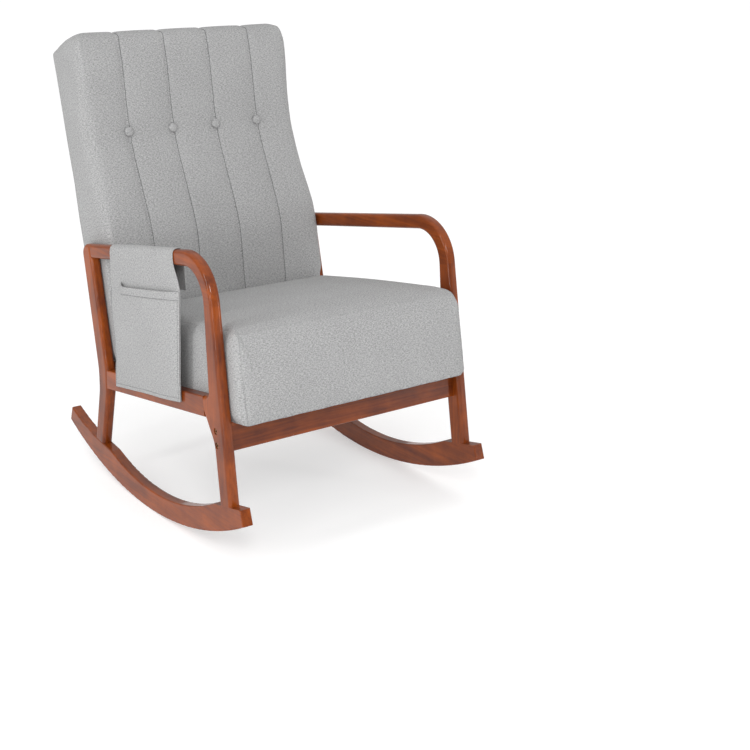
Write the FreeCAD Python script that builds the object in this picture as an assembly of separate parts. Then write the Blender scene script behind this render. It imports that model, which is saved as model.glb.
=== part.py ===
import FreeCAD, Part
import math
import os

# Upholstered high-back rocking chair with a bent-arm wooden side frame on each side.
# Millimetres. X is the chair's width, -Y is its front, +Z is up. While the pieces are
# drawn, X = 0 is the chair's middle plane, Z = 0 is the floor and Y = 0 is the front of
# the front legs at reference height. place() then moves everything to the final origin.

V = FreeCAD.Vector

# --- driving sizes -----------------------------------------------------------------
WIDTH = 640.0            # over the two side frames
MEMBER = 25.0            # thickness of every side-frame member, across the chair
CUSHION_GAP = 9.0        # between a side frame and the seat or back unit
COVER = 2.0              # thickness of the upholstery fabric with its lining

TILT = math.radians(8.7)         # slope of the seat, arms and side rails, down to the rear
RECLINE = math.radians(17.0)     # slope of the back's rear face from upright

LEG_HEIGHT_MARK = 300.0  # height at which the front leg's front edge is at Y = 0
LEG_DEPTH = 47.0         # front leg, front to rear, below the side rail
LEG_TOP_DEPTH = 37.0     # front leg where it meets the armrest
ARM_DEPTH = 34.0         # armrest, top to bottom
ARM_TOP_AT_MARK = 664.0  # height of the armrest's top line at Y = 0
ARM_STEEPER = 1.08       # the armrest's slope over the seat's slope
ARM_JOINT_HEIGHT = 543.0     # front end of the joint between armrest and front leg
BEND_RADIUS = 105.0      # outside of the bend from armrest to front leg
RAIL_DEPTH = 45.0        # side rail, top to bottom
RAIL_TOP_AT_MARK = 356.0     # height of the side rail's top line at Y = 0
RAIL_START = 74.0        # Y of the side rail's front end, at its lower line
BRACKET_HEIGHT = 252.0   # where the hollow under the side rail runs out on the front leg
BRACKET_RADIUS = 60.0
SHOULDER = 60.0          # Y of the front leg's shoulder on the side rail's top line
SHOULDER_RADIUS = 14.0
POST_FRONT = 538.0       # front face of the rear leg at the side rail
POST_DEPTH = 49.0        # rear leg, front to rear
POST_LEAN = 0.24         # rear leg above the rail: rearward run for each unit of rise
REAR_LEG_SPLAY = 0.24    # rear leg below the rail: rearward run for each unit of drop
REAR_LEG_TAPER = 0.03    # its rear edge runs rearward by this much less
REAR_LEG_WAIST = 12.0    # the splay starts this far below the side rail
REAR_LEG_KNEE = 8.0      # the lean of the post starts this far below the rail's top line
ARM_END_RADIUS = 24.0    # upper rear corner of the post

ROCKER_RADIUS = 933.0    # rolling radius
ROCKER_LOW = 364.0       # Y of the point that touches the floor
ROCKER_WAIST = 47.0      # depth of the rocker at its lowest point
ROCKER_TOP_RADIUS = 640.0
ROCKER_FRONT = -74.0     # front tip
ROCKER_REAR = 758.0      # rear tip
ROCKER_TOP_SHIFT = 24.0  # the hollow of the top edge is lowest this far in front of the low point
FRONT_LANDING = (46.0, 11.0, 142.0)  # its rear end's Y, then its front end's setback and height
REAR_LANDING = ((530.0, 76.0), (622.0, 87.0))    # Y and height of its two ends
TAIL_SETBACK = 12.0      # upper corner of the rear tip, from the tip
TAIL_DEPTH = 34.7        # depth of the rocker at its rear tip
TAIL_HOLLOW = 3.0

SEAT_FRONT = -37.0       # lower front edge of the seat unit
SEAT_FRONT_HEIGHT = 307.0
SEAT_LENGTH = 548.0      # along the slope
SEAT_DEPTH = 195.0       # thickness of the seat unit
SEAT_FRAME_DEPTH = 44.0  # wooden box inside the seat unit
SEAT_BOARD = 20.0        # thickness of its boards

BACK_BOTTOM = 282.0      # height of the underside of the back unit
BACK_REAR_AT_BOTTOM = 634.0
BACK_TOP_REAR = 991.0    # height of the upper rear edge
BACK_CROWN = (723.0, 1061.0)     # Y and height where the front and top faces would meet
BACK_CROWN_ROUND = 40.0  # round-over between the front and top faces
BACK_BOARD = 20.0        # thickness of the boards of the back's frame
BACK_STRIP = 44.0        # width of its cross boards
BACK_SIDE_DEPTH = 88.0   # its side boards, front to rear

FRONT_RAIL_SETBACK = 21.0    # behind the front face of the legs
FRONT_RAIL_DEPTH = 61.0
FRONT_RAIL_BOARD = 22.0
REAR_RAIL_DEPTH = 56.0
REAR_RAIL_BOARD = 22.0

BUTTON_PITCH = 119.0
BUTTON_HEIGHT = 809.0
BUTTON_RADIUS = 10.5
BUTTON_COUNT = 4

POCKET_FRONT = 196.0     # front edge of the side pocket where it crosses the armrest
POCKET_LENGTH = 296.0    # along the armrest, in side view
POCKET_LEAN = 0.085      # the hanging cloth runs forward by this much for each unit of drop
POCKET_DROP = 297.0      # from the armrest's underside to the lower hem, outside
POCKET_INNER_DROP = 58.0     # the short flap on the seat side
POCKET_CLOTH = 2.0
POCKET_CLEAR = 1.0       # between the pocket and the wood
POUCH_TOP_DROP = 56.0    # from the armrest's underside to the pouch's mouth
POUCH_LENGTH = 262.0     # along the armrest, from the front edge of the panel
POUCH_DEPTH = 11.0       # room inside the pouch, across the chair

DOWEL_RADIUS = 4.0
DOWEL_LENGTH = 40.0
FIT = 0.15               # room around a dowel, bolt or wire in its hole
BOLT_RADIUS = 3.0
BOLT_HEAD_RADIUS = 6.5
BOLT_HEAD_DEPTH = 4.0

ARM_ROUND = 9.0          # round-over of the armrest and legs
RAIL_ROUND = 3.0
ROCKER_ROUND = 3.0
SOFT_ROUND = 16.0

# --- derived sizes -----------------------------------------------------------------
OUTER = WIDTH / 2
INNER = OUTER - MEMBER
HALF_UNIT = INNER - CUSHION_GAP
SLOPE = math.tan(TILT)       # drop of the seat and side rails for each unit of run; the front
                             # legs stand square to it
BACK_HEIGHT = (BACK_TOP_REAR - BACK_BOTTOM) / math.cos(RECLINE)      # along the back's slope


# --- lines in the side view, each one a height or a Y ------------------------------
def arm_top(y):
    """Height of the armrest's top line."""
    return ARM_TOP_AT_MARK - SLOPE * ARM_STEEPER * y


def arm_under(y):
    """Height of the armrest's underside line."""
    return arm_top(y) - ARM_DEPTH


def rail_top(y):
    """Height of the side rail's top line."""
    return RAIL_TOP_AT_MARK - SLOPE * y


def rail_under(y):
    """Height of the side rail's lower line."""
    return rail_top(y) - RAIL_DEPTH


def leg_front(z):
    """Y of the front leg's front edge."""
    return SLOPE * (z - LEG_HEIGHT_MARK)


def leg_rear(z):
    """Y of the front leg's rear edge below the side rail."""
    return leg_front(z) + LEG_DEPTH


def post_front(z):
    """Y of the rear leg's front edge above the side rail."""
    return POST_FRONT + POST_LEAN * (z - rail_top(POST_FRONT))


def crossing(height_line, y_line):
    """Point where a line given as height(y) meets one given as y(height)."""
    z = height_line(0.0)
    for _ in range(40):
        z = height_line(y_line(z))
    return (y_line(z), z)


def rocker_under(y):
    """Height of the rocker's rolling edge."""
    return ROCKER_RADIUS - math.sqrt(ROCKER_RADIUS ** 2 - (y - ROCKER_LOW) ** 2)


# --- shape helpers -----------------------------------------------------------------
def outline(corners):
    """Edges of a closed side-view outline; each corner is (y, z) or (y, z, radius)."""
    edges = []
    count = len(corners)
    starts, ends, arcs = [], [], []
    for i, corner in enumerate(corners):
        here = V(0, corner[0], corner[1])
        radius = corner[2] if len(corner) > 2 else 0.0
        before = V(0, corners[i - 1][0], corners[i - 1][1]) - here
        after_corner = corners[(i + 1) % count]
        after = V(0, after_corner[0], after_corner[1]) - here
        before.normalize()
        after.normalize()
        if radius <= 0:
            starts.append(here)
            ends.append(here)
            arcs.append(None)
            continue
        half = before.getAngle(after) / 2
        run = radius / math.tan(half)
        first, last = here + before * run, here + after * run
        middle_way = before + after
        middle_way.normalize()
        centre = here + middle_way * (radius / math.sin(half))
        starts.append(first)
        ends.append(last)
        arcs.append(Part.Arc(first, centre - middle_way * radius, last).toShape())
    for i in range(count):
        if arcs[i] is not None:
            edges.append(arcs[i])
        following = starts[(i + 1) % count]
        if ends[i].distanceToPoint(following) > 1e-6:
            edges.append(Part.LineSegment(ends[i], following).toShape())
    return edges


def slab(edges, x_low, x_high):
    """Solid between two X planes, with the given side-view outline."""
    wire = Part.Wire(Part.__sortEdges__(edges))
    face = Part.Face(wire)
    face.translate(V(x_low, 0, 0))
    return face.extrude(V(x_high - x_low, 0, 0))


def member(corners, rounding, butts=()):
    """Side-frame member of the left side; edges at a butt joint stay square."""
    solid = slab(outline(corners), -OUTER, -INNER)
    return round_over(solid, rounding, butts)


def round_over(solid, radius, butts=()):
    """Round the edges of both broad faces, apart from those that end at a butt joint."""
    chosen = []
    for edge in solid.Edges:
        ends = [v.Point for v in edge.Vertexes]
        if len(ends) < 2 or abs(ends[0].x - ends[1].x) > 1e-6:
            continue
        middle = edge.valueAt((edge.FirstParameter + edge.LastParameter) / 2)
        if any(_on_segment(middle, butt) for butt in butts):
            continue
        chosen.append(edge)
    return solid.makeFillet(radius, chosen)


def _on_segment(point, butt):
    """Whether a point is on the side-view segment between two (y, z) points."""
    a, b = V(0, butt[0][0], butt[0][1]), V(0, butt[1][0], butt[1][1])
    flat = V(0, point.y, point.z)
    return abs((flat - a).Length + (flat - b).Length - (b - a).Length) < 0.01


def mirrored(shape):
    """The same shape on the other side of the chair."""
    return shape.mirror(V(0, 0, 0), V(1, 0, 0))


def box(x0, x1, y0, y1, z0, z1):
    """Box between the given limits."""
    return Part.makeBox(x1 - x0, y1 - y0, z1 - z0, V(x0, y0, z0))


def peg(centre, direction, length, radius):
    """Round peg with its middle at a point."""
    way = V(direction)
    way.normalize()
    return Part.makeCylinder(radius, length, centre - way * (length / 2), way)


def stud(start, direction, length, radius):
    """Round bar that starts at a point."""
    return Part.makeCylinder(radius, length, start, direction)


def widened(pegs, room=FIT):
    """The holes for a list of (centre, direction, length, radius) pegs."""
    return [peg(c, d, n + 2 * room, r + room) for c, d, n, r in pegs]


def seat_frame_point(u, w, x=0.0):
    """Point in the sloping seat: u runs rearwards along it, w stands square to it."""
    y = SEAT_FRONT + u * math.cos(TILT) + w * math.sin(TILT)
    z = SEAT_FRONT_HEIGHT - u * math.sin(TILT) + w * math.cos(TILT)
    return V(x, y, z)


def in_seat(shape):
    """Move a shape drawn flat (X, u, w) into the sloping seat."""
    moved = shape.copy()
    moved.rotate(V(0, 0, 0), V(1, 0, 0), -math.degrees(TILT))
    moved.translate(V(0, SEAT_FRONT, SEAT_FRONT_HEIGHT))
    return moved


def in_back(shape):
    """Move a shape drawn upright (X, n towards the rear, s upwards) onto the back's slope."""
    moved = shape.copy()
    moved.rotate(V(0, 0, 0), V(1, 0, 0), -math.degrees(RECLINE))
    moved.translate(V(0, BACK_REAR_AT_BOTTOM, BACK_BOTTOM))
    return moved


def back_rear(z):
    """Y of the back unit's rear face."""
    return BACK_REAR_AT_BOTTOM + math.tan(RECLINE) * (z - BACK_BOTTOM)


# --- side frames -------------------------------------------------------------------
def arm_to_leg_joint():
    """The two ends of the joint line between armrest and front leg."""
    front = (leg_front(ARM_JOINT_HEIGHT), ARM_JOINT_HEIGHT)
    rear = (front[0] + LEG_TOP_DEPTH, ARM_JOINT_HEIGHT - LEG_TOP_DEPTH * SLOPE)
    return front, rear


def rail_front_joint():
    """Lower and upper end of the joint line between front leg and side rail."""
    high_y = RAIL_START + RAIL_DEPTH * SLOPE
    return (RAIL_START, rail_under(RAIL_START)), (high_y, rail_top(high_y))


def rail_rear_joint():
    """Lower and upper end of the joint line between side rail and rear leg."""
    return (POST_FRONT, rail_under(POST_FRONT)), (POST_FRONT, rail_top(POST_FRONT))


def armrest():
    """Sloping armrest that bends down at its front end to meet the front leg."""
    front, rear = arm_to_leg_joint()
    outer_corner = crossing(arm_top, leg_front)
    inner_corner = crossing(arm_under, lambda z: leg_front(z) + LEG_TOP_DEPTH)
    high = crossing(arm_top, post_front)
    low = crossing(arm_under, post_front)
    corners = [front, (*outer_corner, BEND_RADIUS), high, low,
               (*inner_corner, BEND_RADIUS - ARM_DEPTH), rear]
    return member(corners, ARM_ROUND, [(front, rear), (high, low)])


def front_landing():
    """Front and rear end of the rocker's flat under the front leg."""
    inner_y, setback, height = FRONT_LANDING
    return (ROCKER_FRONT + setback, height), (inner_y, rocker_top_arc(inner_y))


def rocker_top_arc(y):
    """Height of the hollow top edge of the rocker between the legs."""
    run = y - (ROCKER_LOW - ROCKER_TOP_SHIFT)
    return ROCKER_WAIST + ROCKER_TOP_RADIUS - math.sqrt(ROCKER_TOP_RADIUS ** 2 - run ** 2)


def on_line(a, b, y):
    """Height at y on the line through two side-view points."""
    return a[1] + (b[1] - a[1]) * (y - a[0]) / (b[0] - a[0])


def foot(y_line, a, b):
    """Point where a leg edge y(height) meets the line through two side-view points."""
    return crossing(lambda y: on_line(a, b, y), y_line)


def front_leg():
    """Front leg, wider at the side rail, with a curved bracket under the rail."""
    front, rear = arm_to_leg_joint()
    tip, inner = front_landing()
    foot_front = foot(leg_front, tip, inner)
    foot_rear = foot(leg_rear, tip, inner)
    rail_low, rail_high = rail_front_joint()
    bracket = (leg_rear(BRACKET_HEIGHT), BRACKET_HEIGHT, BRACKET_RADIUS)
    shoulder = (SHOULDER, rail_top(SHOULDER), SHOULDER_RADIUS)
    corners = [foot_front, front, rear, shoulder, rail_high, rail_low, bracket, foot_rear]
    return member(corners, ARM_ROUND, [(front, rear), (rail_high, rail_low),
                                       (foot_front, foot_rear), (shoulder[:2], rail_high)])


def splay_front(z):
    """Y of the rear leg's front edge below the side rail."""
    return POST_FRONT + REAR_LEG_SPLAY * (rail_under(POST_FRONT) - REAR_LEG_WAIST - z)


def splay_rear(z):
    """Y of the rear leg's rear edge below the side rail."""
    drop = rail_under(POST_FRONT) - REAR_LEG_WAIST - z
    return POST_FRONT + POST_DEPTH + (REAR_LEG_SPLAY - REAR_LEG_TAPER) * drop


def rear_leg():
    """Rear leg and arm post in one bent piece, with a rounded upper rear corner."""
    front_top = crossing(arm_top, post_front)
    rear_top = crossing(arm_top, lambda z: post_front(z) + POST_DEPTH)
    waist = rail_under(POST_FRONT) - REAR_LEG_WAIST
    knee = rail_top(POST_FRONT) - REAR_LEG_KNEE
    rear_y = POST_FRONT + POST_DEPTH
    foot_front = foot(splay_front, *REAR_LANDING)
    foot_rear = foot(splay_rear, *REAR_LANDING)
    front_radii, rear_radii = (40.0, 30.0), (150.0, 90.0)
    corners = [foot_front, (POST_FRONT, waist, front_radii[0]),
               (POST_FRONT, rail_top(POST_FRONT), front_radii[1]), front_top,
               (*rear_top, ARM_END_RADIUS), (rear_y, knee, rear_radii[0]),
               (rear_y - 1.0, waist, rear_radii[1]), foot_rear]
    arm_low = crossing(arm_under, post_front)
    return member(corners, ARM_ROUND, [(foot_front, foot_rear), (front_top, arm_low)])


def side_rail():
    """Straight rail between the front and rear legs."""
    low, high = rail_front_joint()
    rear_low, rear_high = rail_rear_joint()
    return member([low, high, rear_high, rear_low], RAIL_ROUND,
                  [(low, high), (rear_low, rear_high)])


def rocker():
    """Curved runner with flats for the legs and tapering tips."""
    tip, inner = front_landing()
    a, b = REAR_LANDING
    low_front = V(0, ROCKER_FRONT, rocker_under(ROCKER_FRONT))
    low_rear = V(0, ROCKER_REAR, rocker_under(ROCKER_REAR))
    bottom = Part.Arc(low_front, V(0, ROCKER_LOW, 0), low_rear).toShape()
    rear_high = V(0, ROCKER_REAR - TAIL_SETBACK, rocker_under(ROCKER_REAR) + TAIL_DEPTH)
    middle_y = (b[0] + rear_high.y) / 2
    middle_z = (b[1] + rear_high.z) / 2 - TAIL_HOLLOW
    tail = Part.Arc(V(0, b[0], b[1]), V(0, middle_y, middle_z), rear_high).toShape()
    hollow_y = (inner[0] + a[0]) / 2
    hollow = Part.Arc(V(0, inner[0], inner[1]), V(0, hollow_y, rocker_top_arc(hollow_y)),
                      V(0, a[0], a[1])).toShape()
    edges = [bottom,
             Part.LineSegment(low_rear, rear_high).toShape(),
             tail,
             Part.LineSegment(V(0, b[0], b[1]), V(0, a[0], a[1])).toShape(),
             hollow,
             Part.LineSegment(V(0, inner[0], inner[1]), V(0, tip[0], tip[1])).toShape(),
             Part.LineSegment(V(0, tip[0], tip[1]), low_front).toShape()]
    solid = slab(edges, -OUTER, -INNER)
    return round_over(solid, ROCKER_ROUND, [(tip, inner), (a, b)])


# --- cross rails -------------------------------------------------------------------
def front_rail_limits():
    """The u and w limits of the front rail in the sloping seat frame."""
    face = (leg_front(SEAT_FRONT_HEIGHT) - SEAT_FRONT) * math.cos(TILT) + FRONT_RAIL_SETBACK
    return face, face + FRONT_RAIL_BOARD, -FRONT_RAIL_DEPTH, 0.0


def front_rail():
    """Rail between the front legs, under the front of the seat."""
    u0, u1, w0, w1 = front_rail_limits()
    plank = box(-INNER, INNER, u0, u1, w0, w1)
    long_edges = [e for e in plank.Edges if abs(e.Vertexes[0].X - e.Vertexes[1].X) > WIDTH / 2
                  and e.Vertexes[0].Z < w0 + 1]
    return in_seat(plank.makeFillet(RAIL_ROUND, long_edges))


def rear_rail_limits():
    """The Y and Z limits of the rear rail."""
    y0 = POST_FRONT + (POST_DEPTH - REAR_RAIL_BOARD) / 2
    return y0, y0 + REAR_RAIL_BOARD, BACK_BOTTOM - REAR_RAIL_DEPTH, BACK_BOTTOM


def rear_rail():
    """Rail between the rear legs, under the back unit."""
    y0, y1, z0, z1 = rear_rail_limits()
    plank = box(-INNER, INNER, y0, y1, z0, z1)
    long_edges = [e for e in plank.Edges if abs(e.Vertexes[0].X - e.Vertexes[1].X) > WIDTH / 2
                  and e.Vertexes[0].Z < z0 + 1]
    return plank.makeFillet(RAIL_ROUND, long_edges)


# --- fasteners of the wooden frame -------------------------------------------------
MID_MEMBER = -(OUTER + INNER) / 2


def along(a, b, share):
    """Point on the left side frame's middle plane, part of the way along a joint line."""
    return V(MID_MEMBER, a[0] + (b[0] - a[0]) * share, a[1] + (b[1] - a[1]) * share)


def joint_pegs(a, b, direction):
    """Two dowels across the joint line from a to b."""
    return [(along(a, b, share), direction, DOWEL_LENGTH, DOWEL_RADIUS) for share in PEG_SHARES]


def rocker_pegs():
    """Dowels that hold the legs on the rocker."""
    tip, inner = front_landing()
    front = joint_pegs(foot(leg_front, tip, inner), foot(leg_rear, tip, inner), V(0, SLOPE, 1))
    rear = joint_pegs(foot(splay_front, *REAR_LANDING), foot(splay_rear, *REAR_LANDING),
                      V(0, -REAR_LEG_SPLAY, 1))
    return front + rear


def armrest_pegs():
    """Dowels at both ends of the armrest."""
    front, rear = arm_to_leg_joint()
    high, low = crossing(arm_top, post_front), crossing(arm_under, post_front)
    return joint_pegs(front, rear, V(0, SLOPE, 1)) + joint_pegs(high, low, V(0, 1, -SLOPE))


def side_rail_pegs():
    """Dowels at both ends of the side rail."""
    way = V(0, 1, -SLOPE)
    return joint_pegs(*rail_front_joint(), way) + joint_pegs(*rail_rear_joint(), way)


def rear_rail_pegs():
    """Dowels between the rear rail and the left rear leg."""
    y0, y1, z0, z1 = rear_rail_limits()
    return [(V(-INNER, (y0 + y1) / 2, z0 + (z1 - z0) * share), V(1, 0, 0), DOWEL_LENGTH * 0.8,
             DOWEL_RADIUS) for share in PEG_SHARES]


def both_sides(pegs):
    """The pegs of the left side and their mirror images, as one group of solids."""
    left = [peg(*p) for p in pegs]
    return Part.makeCompound(left + [mirrored(p) for p in left])


FRONT_BOLT_LENGTH = 62.0
FRONT_BOLT_SINK = 2.0    # of its head below the leg's face
PEG_SHARES = (0.3, 0.7)  # where the two dowels of a joint sit along the joint line


def front_bolt_points():
    """Where the two bolts of the left front leg start, on its outer face."""
    u0, u1, w0, w1 = front_rail_limits()
    return [seat_frame_point((u0 + u1) / 2, w0 + (w1 - w0) * share, -OUTER)
            for share in (0.27, 0.76)]


def front_bolt(point):
    """Bolt with a flat round head and a driving socket, sunk in the leg."""
    head_start = point + V(FRONT_BOLT_SINK, 0, 0)
    head = stud(head_start, V(1, 0, 0), BOLT_HEAD_DEPTH, BOLT_HEAD_RADIUS)
    shank = stud(head_start, V(1, 0, 0), FRONT_BOLT_LENGTH, BOLT_RADIUS)
    socket = stud(point, V(1, 0, 0), FRONT_BOLT_SINK + BOLT_HEAD_DEPTH * 0.6, BOLT_RADIUS * 0.8)
    return head.fuse(shank).cut(socket).removeSplitter()


def front_bolt_hole(point):
    """Stepped hole for a front bolt."""
    sink = stud(point - V(1, 0, 0), V(1, 0, 0), 1.0 + FRONT_BOLT_SINK + BOLT_HEAD_DEPTH + FIT,
                BOLT_HEAD_RADIUS + 0.5)
    return sink.fuse(stud(point, V(1, 0, 0), FRONT_BOLT_LENGTH + 4.0, BOLT_RADIUS + FIT))


NUT_RADIUS = 5.0


def barrel_nut(point):
    """Cross nut that the bolt screws into, let into the rear of the front rail."""
    u0, u1, _, _ = front_rail_limits()
    length = (u1 - u0) * 0.7
    centre = point + V(FRONT_BOLT_LENGTH - 8.0, 0, 0)
    way = seat_frame_point(1, 0) - seat_frame_point(0, 0)
    hole = stud(point, V(1, 0, 0), FRONT_BOLT_LENGTH + 20.0, BOLT_RADIUS + FIT)
    return peg(centre + way * 2.0, way, length, NUT_RADIUS).cut(hole)


def barrel_nut_hole(point):
    """Room for a cross nut, open to the rear of the rail."""
    u0, u1, _, _ = front_rail_limits()
    length = (u1 - u0) * 0.7
    centre = point + V(FRONT_BOLT_LENGTH - 8.0, 0, 0)
    way = seat_frame_point(1, 0) - seat_frame_point(0, 0)
    start = centre + way * (2.0 - length / 2 - FIT)
    return stud(start, way, length + 12.0, NUT_RADIUS + FIT)


# --- side fixings of the seat and back units ---------------------------------------
SIDE_BOLT_GRIP = 14.0    # depth of thread in the side frame
SPACER_RADIUS = 11.0


def side_bolt_points():
    """Left-side points where the seat unit, then the back unit, is bolted to the frame."""
    seat_y = (120.0, 390.0)
    seat = [V(-INNER, y, (rail_top(y) + rail_under(y)) / 2) for y in seat_y]
    back_z = (345.0, 490.0)
    back = [V(-INNER, post_front(z) + POST_DEPTH * 0.66, z) for z in back_z]
    return seat, back


def side_bolt(point, board):
    """Bolt from inside a unit, through its board and a spacer, into the side frame."""
    length = board + CUSHION_GAP + COVER + SIDE_BOLT_GRIP
    start = point - V(SIDE_BOLT_GRIP, 0, 0)
    shank = stud(start, V(1, 0, 0), length, BOLT_RADIUS)
    head = stud(start + V(length, 0, 0), V(1, 0, 0), BOLT_HEAD_DEPTH, BOLT_HEAD_RADIUS)
    return shank.fuse(head).removeSplitter()


def side_bolt_hole(point):
    """Clear hole for a side bolt."""
    reach = SIDE_BOLT_GRIP + CUSHION_GAP + COVER + BACK_BOARD + 2 * FIT
    return stud(point - V(SIDE_BOLT_GRIP + FIT, 0, 0), V(1, 0, 0), reach, BOLT_RADIUS + FIT)


def side_bolt_head_room(point, board):
    """Room for the head of a side bolt inside a unit."""
    start = point + V(CUSHION_GAP + COVER + board - FIT, 0, 0)
    return stud(start, V(1, 0, 0), BOLT_HEAD_DEPTH + 1.0, BOLT_HEAD_RADIUS + 0.5)


def spacer(point):
    """Ring that fills the gap between a unit and the side frame."""
    ring = stud(point, V(1, 0, 0), CUSHION_GAP, SPACER_RADIUS)
    return ring.cut(stud(point, V(1, 0, 0), CUSHION_GAP, BOLT_RADIUS + FIT))


# --- seat unit ---------------------------------------------------------------------
def rounded_block(half_width, length, low, high, rounding):
    """Block drawn flat with rounded upper edges and upright corners."""
    block = box(-half_width, half_width, 0, length, low, high)
    upright = [e for e in block.Edges if abs(e.Vertexes[0].Z - e.Vertexes[1].Z) > 1]
    block = block.makeFillet(rounding, upright)
    top = [e for e in block.Edges if all(v.Z > high - 0.01 for v in e.Vertexes)]
    return block.makeFillet(rounding * 0.95, top)


SPRING_WIRE = 1.9
SPRING_LEVEL = SEAT_FRAME_DEPTH + COVER + 3.0
FOAM_LOW = SPRING_LEVEL + SPRING_WIRE + 5.0


def seat_inner_limits():
    """Half width and the two ends of the space inside the seat's cover."""
    return HALF_UNIT - COVER, COVER, SEAT_LENGTH - COVER


def seat_cover():
    """Fabric cover over the top and sides of the seat, open underneath."""
    half, u0, u1 = seat_inner_limits()
    outer = rounded_block(HALF_UNIT, SEAT_LENGTH, 0, SEAT_DEPTH, SOFT_ROUND)
    inner = rounded_block(half, u1 - u0, -5.0, SEAT_DEPTH - COVER, SOFT_ROUND - COVER)
    inner.translate(V(0, u0, 0))
    return in_seat(outer.cut(inner))


def seat_foam():
    """Foam block of the seat."""
    half, u0, u1 = seat_inner_limits()
    block = rounded_block(half, u1 - u0, FOAM_LOW, SEAT_DEPTH - COVER, SOFT_ROUND - COVER)
    block.translate(V(0, u0, 0))
    return in_seat(block)


def seat_boards():
    """The four boards of the seat's wooden box, by node name."""
    half, u0, u1 = seat_inner_limits()
    corner = SOFT_ROUND - COVER
    low, high = COVER, COVER + SEAT_FRAME_DEPTH

    def board(x0, x1, a, b):
        return in_seat(box(x0, x1, a, b, low, high))

    return {
        "seat_frame_front_board": board(-half + corner, half - corner, u0, u0 + SEAT_BOARD),
        "seat_frame_rear_board": board(-half + corner, half - corner, u1 - SEAT_BOARD, u1),
        "seat_frame_left_board": board(-half, -half + SEAT_BOARD, u0 + SEAT_BOARD, u1 - SEAT_BOARD),
        "seat_frame_right_board": board(half - SEAT_BOARD, half, u0 + SEAT_BOARD, u1 - SEAT_BOARD),
    }


def seat_corner_blocks():
    """Four triangular glue blocks in the corners of the seat's box."""
    half, u0, u1 = seat_inner_limits()
    leg = 60.0           # length of the block along each board
    blocks = []
    for side in (-1, 1):
        for end in (u0 + SEAT_BOARD, u1 - SEAT_BOARD):
            inward = 1 if end < SEAT_LENGTH / 2 else -1
            x = side * (half - SEAT_BOARD)
            points = [V(x, end, 0), V(x - side * leg, end, 0), V(x, end + inward * leg, 0)]
            face = Part.Face(Part.makePolygon(points + [points[0]]))
            wedge = face.extrude(V(0, 0, SEAT_FRAME_DEPTH * 0.6))
            wedge.translate(V(0, 0, COVER + 4.0))
            blocks.append(in_seat(wedge))
    return Part.makeCompound(blocks)


SPRING_COUNT = 5
SPRING_REACH = 20.0      # half the width of the zigzag
SPRING_BARS = 19


def spring_positions():
    """X of each zigzag spring."""
    spacing = (2 * HALF_UNIT - 120.0) / (SPRING_COUNT - 1)
    return [(i - (SPRING_COUNT - 1) / 2) * spacing for i in range(SPRING_COUNT)]


def spring_ends():
    """The u of a spring's first and last cross bars."""
    _, u0, u1 = seat_inner_limits()
    return u0 + SEAT_BOARD / 2, u1 - SEAT_BOARD / 2


def zigzag_spring(x):
    """Zigzag seat spring: cross bars joined by half-circle bends."""
    first, last = spring_ends()
    pitch = (last - first) / (SPRING_BARS - 1)
    edges = []
    for i in range(SPRING_BARS):
        way = 1 if i % 2 == 0 else -1
        u = first + i * pitch
        a, b = V(x - way * SPRING_REACH, u, SPRING_LEVEL), V(x + way * SPRING_REACH, u, SPRING_LEVEL)
        edges.append(Part.LineSegment(a, b).toShape())
        if i < SPRING_BARS - 1:
            tip = V(x + way * (SPRING_REACH + pitch / 2), u + pitch / 2, SPRING_LEVEL)
            end = V(x + way * SPRING_REACH, u + pitch, SPRING_LEVEL)
            edges.append(Part.Arc(b, tip, end).toShape())
    path = Part.Wire(edges)
    start = V(x - SPRING_REACH, first, SPRING_LEVEL)
    section = Part.Wire(Part.makeCircle(SPRING_WIRE, start, V(1, 0, 0)))
    return path.makePipeShell([section], True, True)


def seat_springs():
    """The row of zigzag springs."""
    return in_seat(Part.makeCompound([zigzag_spring(x) for x in spring_positions()]))


def seat_spring_clips():
    """Clips that hold the end bars of the springs on the front and rear boards."""
    clips = []
    low = COVER + SEAT_FRAME_DEPTH
    for x in spring_positions():
        for u in spring_ends():
            clip = box(x - 11, x + 11, u - 7, u + 7, low, SPRING_LEVEL + SPRING_WIRE + 2.0)
            wire = stud(V(x - 12, u, SPRING_LEVEL), V(1, 0, 0), 24, SPRING_WIRE + FIT)
            clips.append(in_seat(clip.cut(wire)))
    return Part.makeCompound(clips)


def seat_insulator():
    """Felt pad between the springs and the foam."""
    half, u0, u1 = seat_inner_limits()
    low = SPRING_LEVEL + SPRING_WIRE + 2.2
    return in_seat(box(-half + 4, half - 4, u0 + 4, u1 - 4, low, FOAM_LOW - 0.2))


def seat_dust_cover():
    """Thin cloth that closes the underside of the seat's box."""
    half, u0, u1 = seat_inner_limits()
    return in_seat(box(-half + 8, half - 8, u0 + 8, u1 - 8, 0.4, 1.6))


# --- back unit ---------------------------------------------------------------------
def back_front_points():
    """Front profile of the back unit from bottom to top: foot, lumbar swell, buttons, headrest."""
    return (521.0, BACK_BOTTOM), (547.0, 480.0), (556.0, 572.0), (669.0, BUTTON_HEIGHT), (697.0, 965.0)


def back_outline(inset):
    """Closed side-view outline of the back unit, drawn in by the inset."""
    base, lumbar, swell, button, head = back_front_points()
    rear_top = (back_rear(BACK_TOP_REAR), BACK_TOP_REAR)
    corners = [(base[0] + inset, base[1] + inset), (lumbar[0] + inset, lumbar[1]),
               (swell[0] + inset, swell[1], 120.0), (button[0] + inset, button[1], 160.0),
               (head[0] + inset, head[1], 90.0),
               (BACK_CROWN[0] + inset, BACK_CROWN[1] - inset, BACK_CROWN_ROUND - inset),
               (rear_top[0] - inset, rear_top[1] - inset),
               (back_rear(BACK_BOTTOM) - inset, base[1] + inset)]
    return outline(corners)


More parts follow.
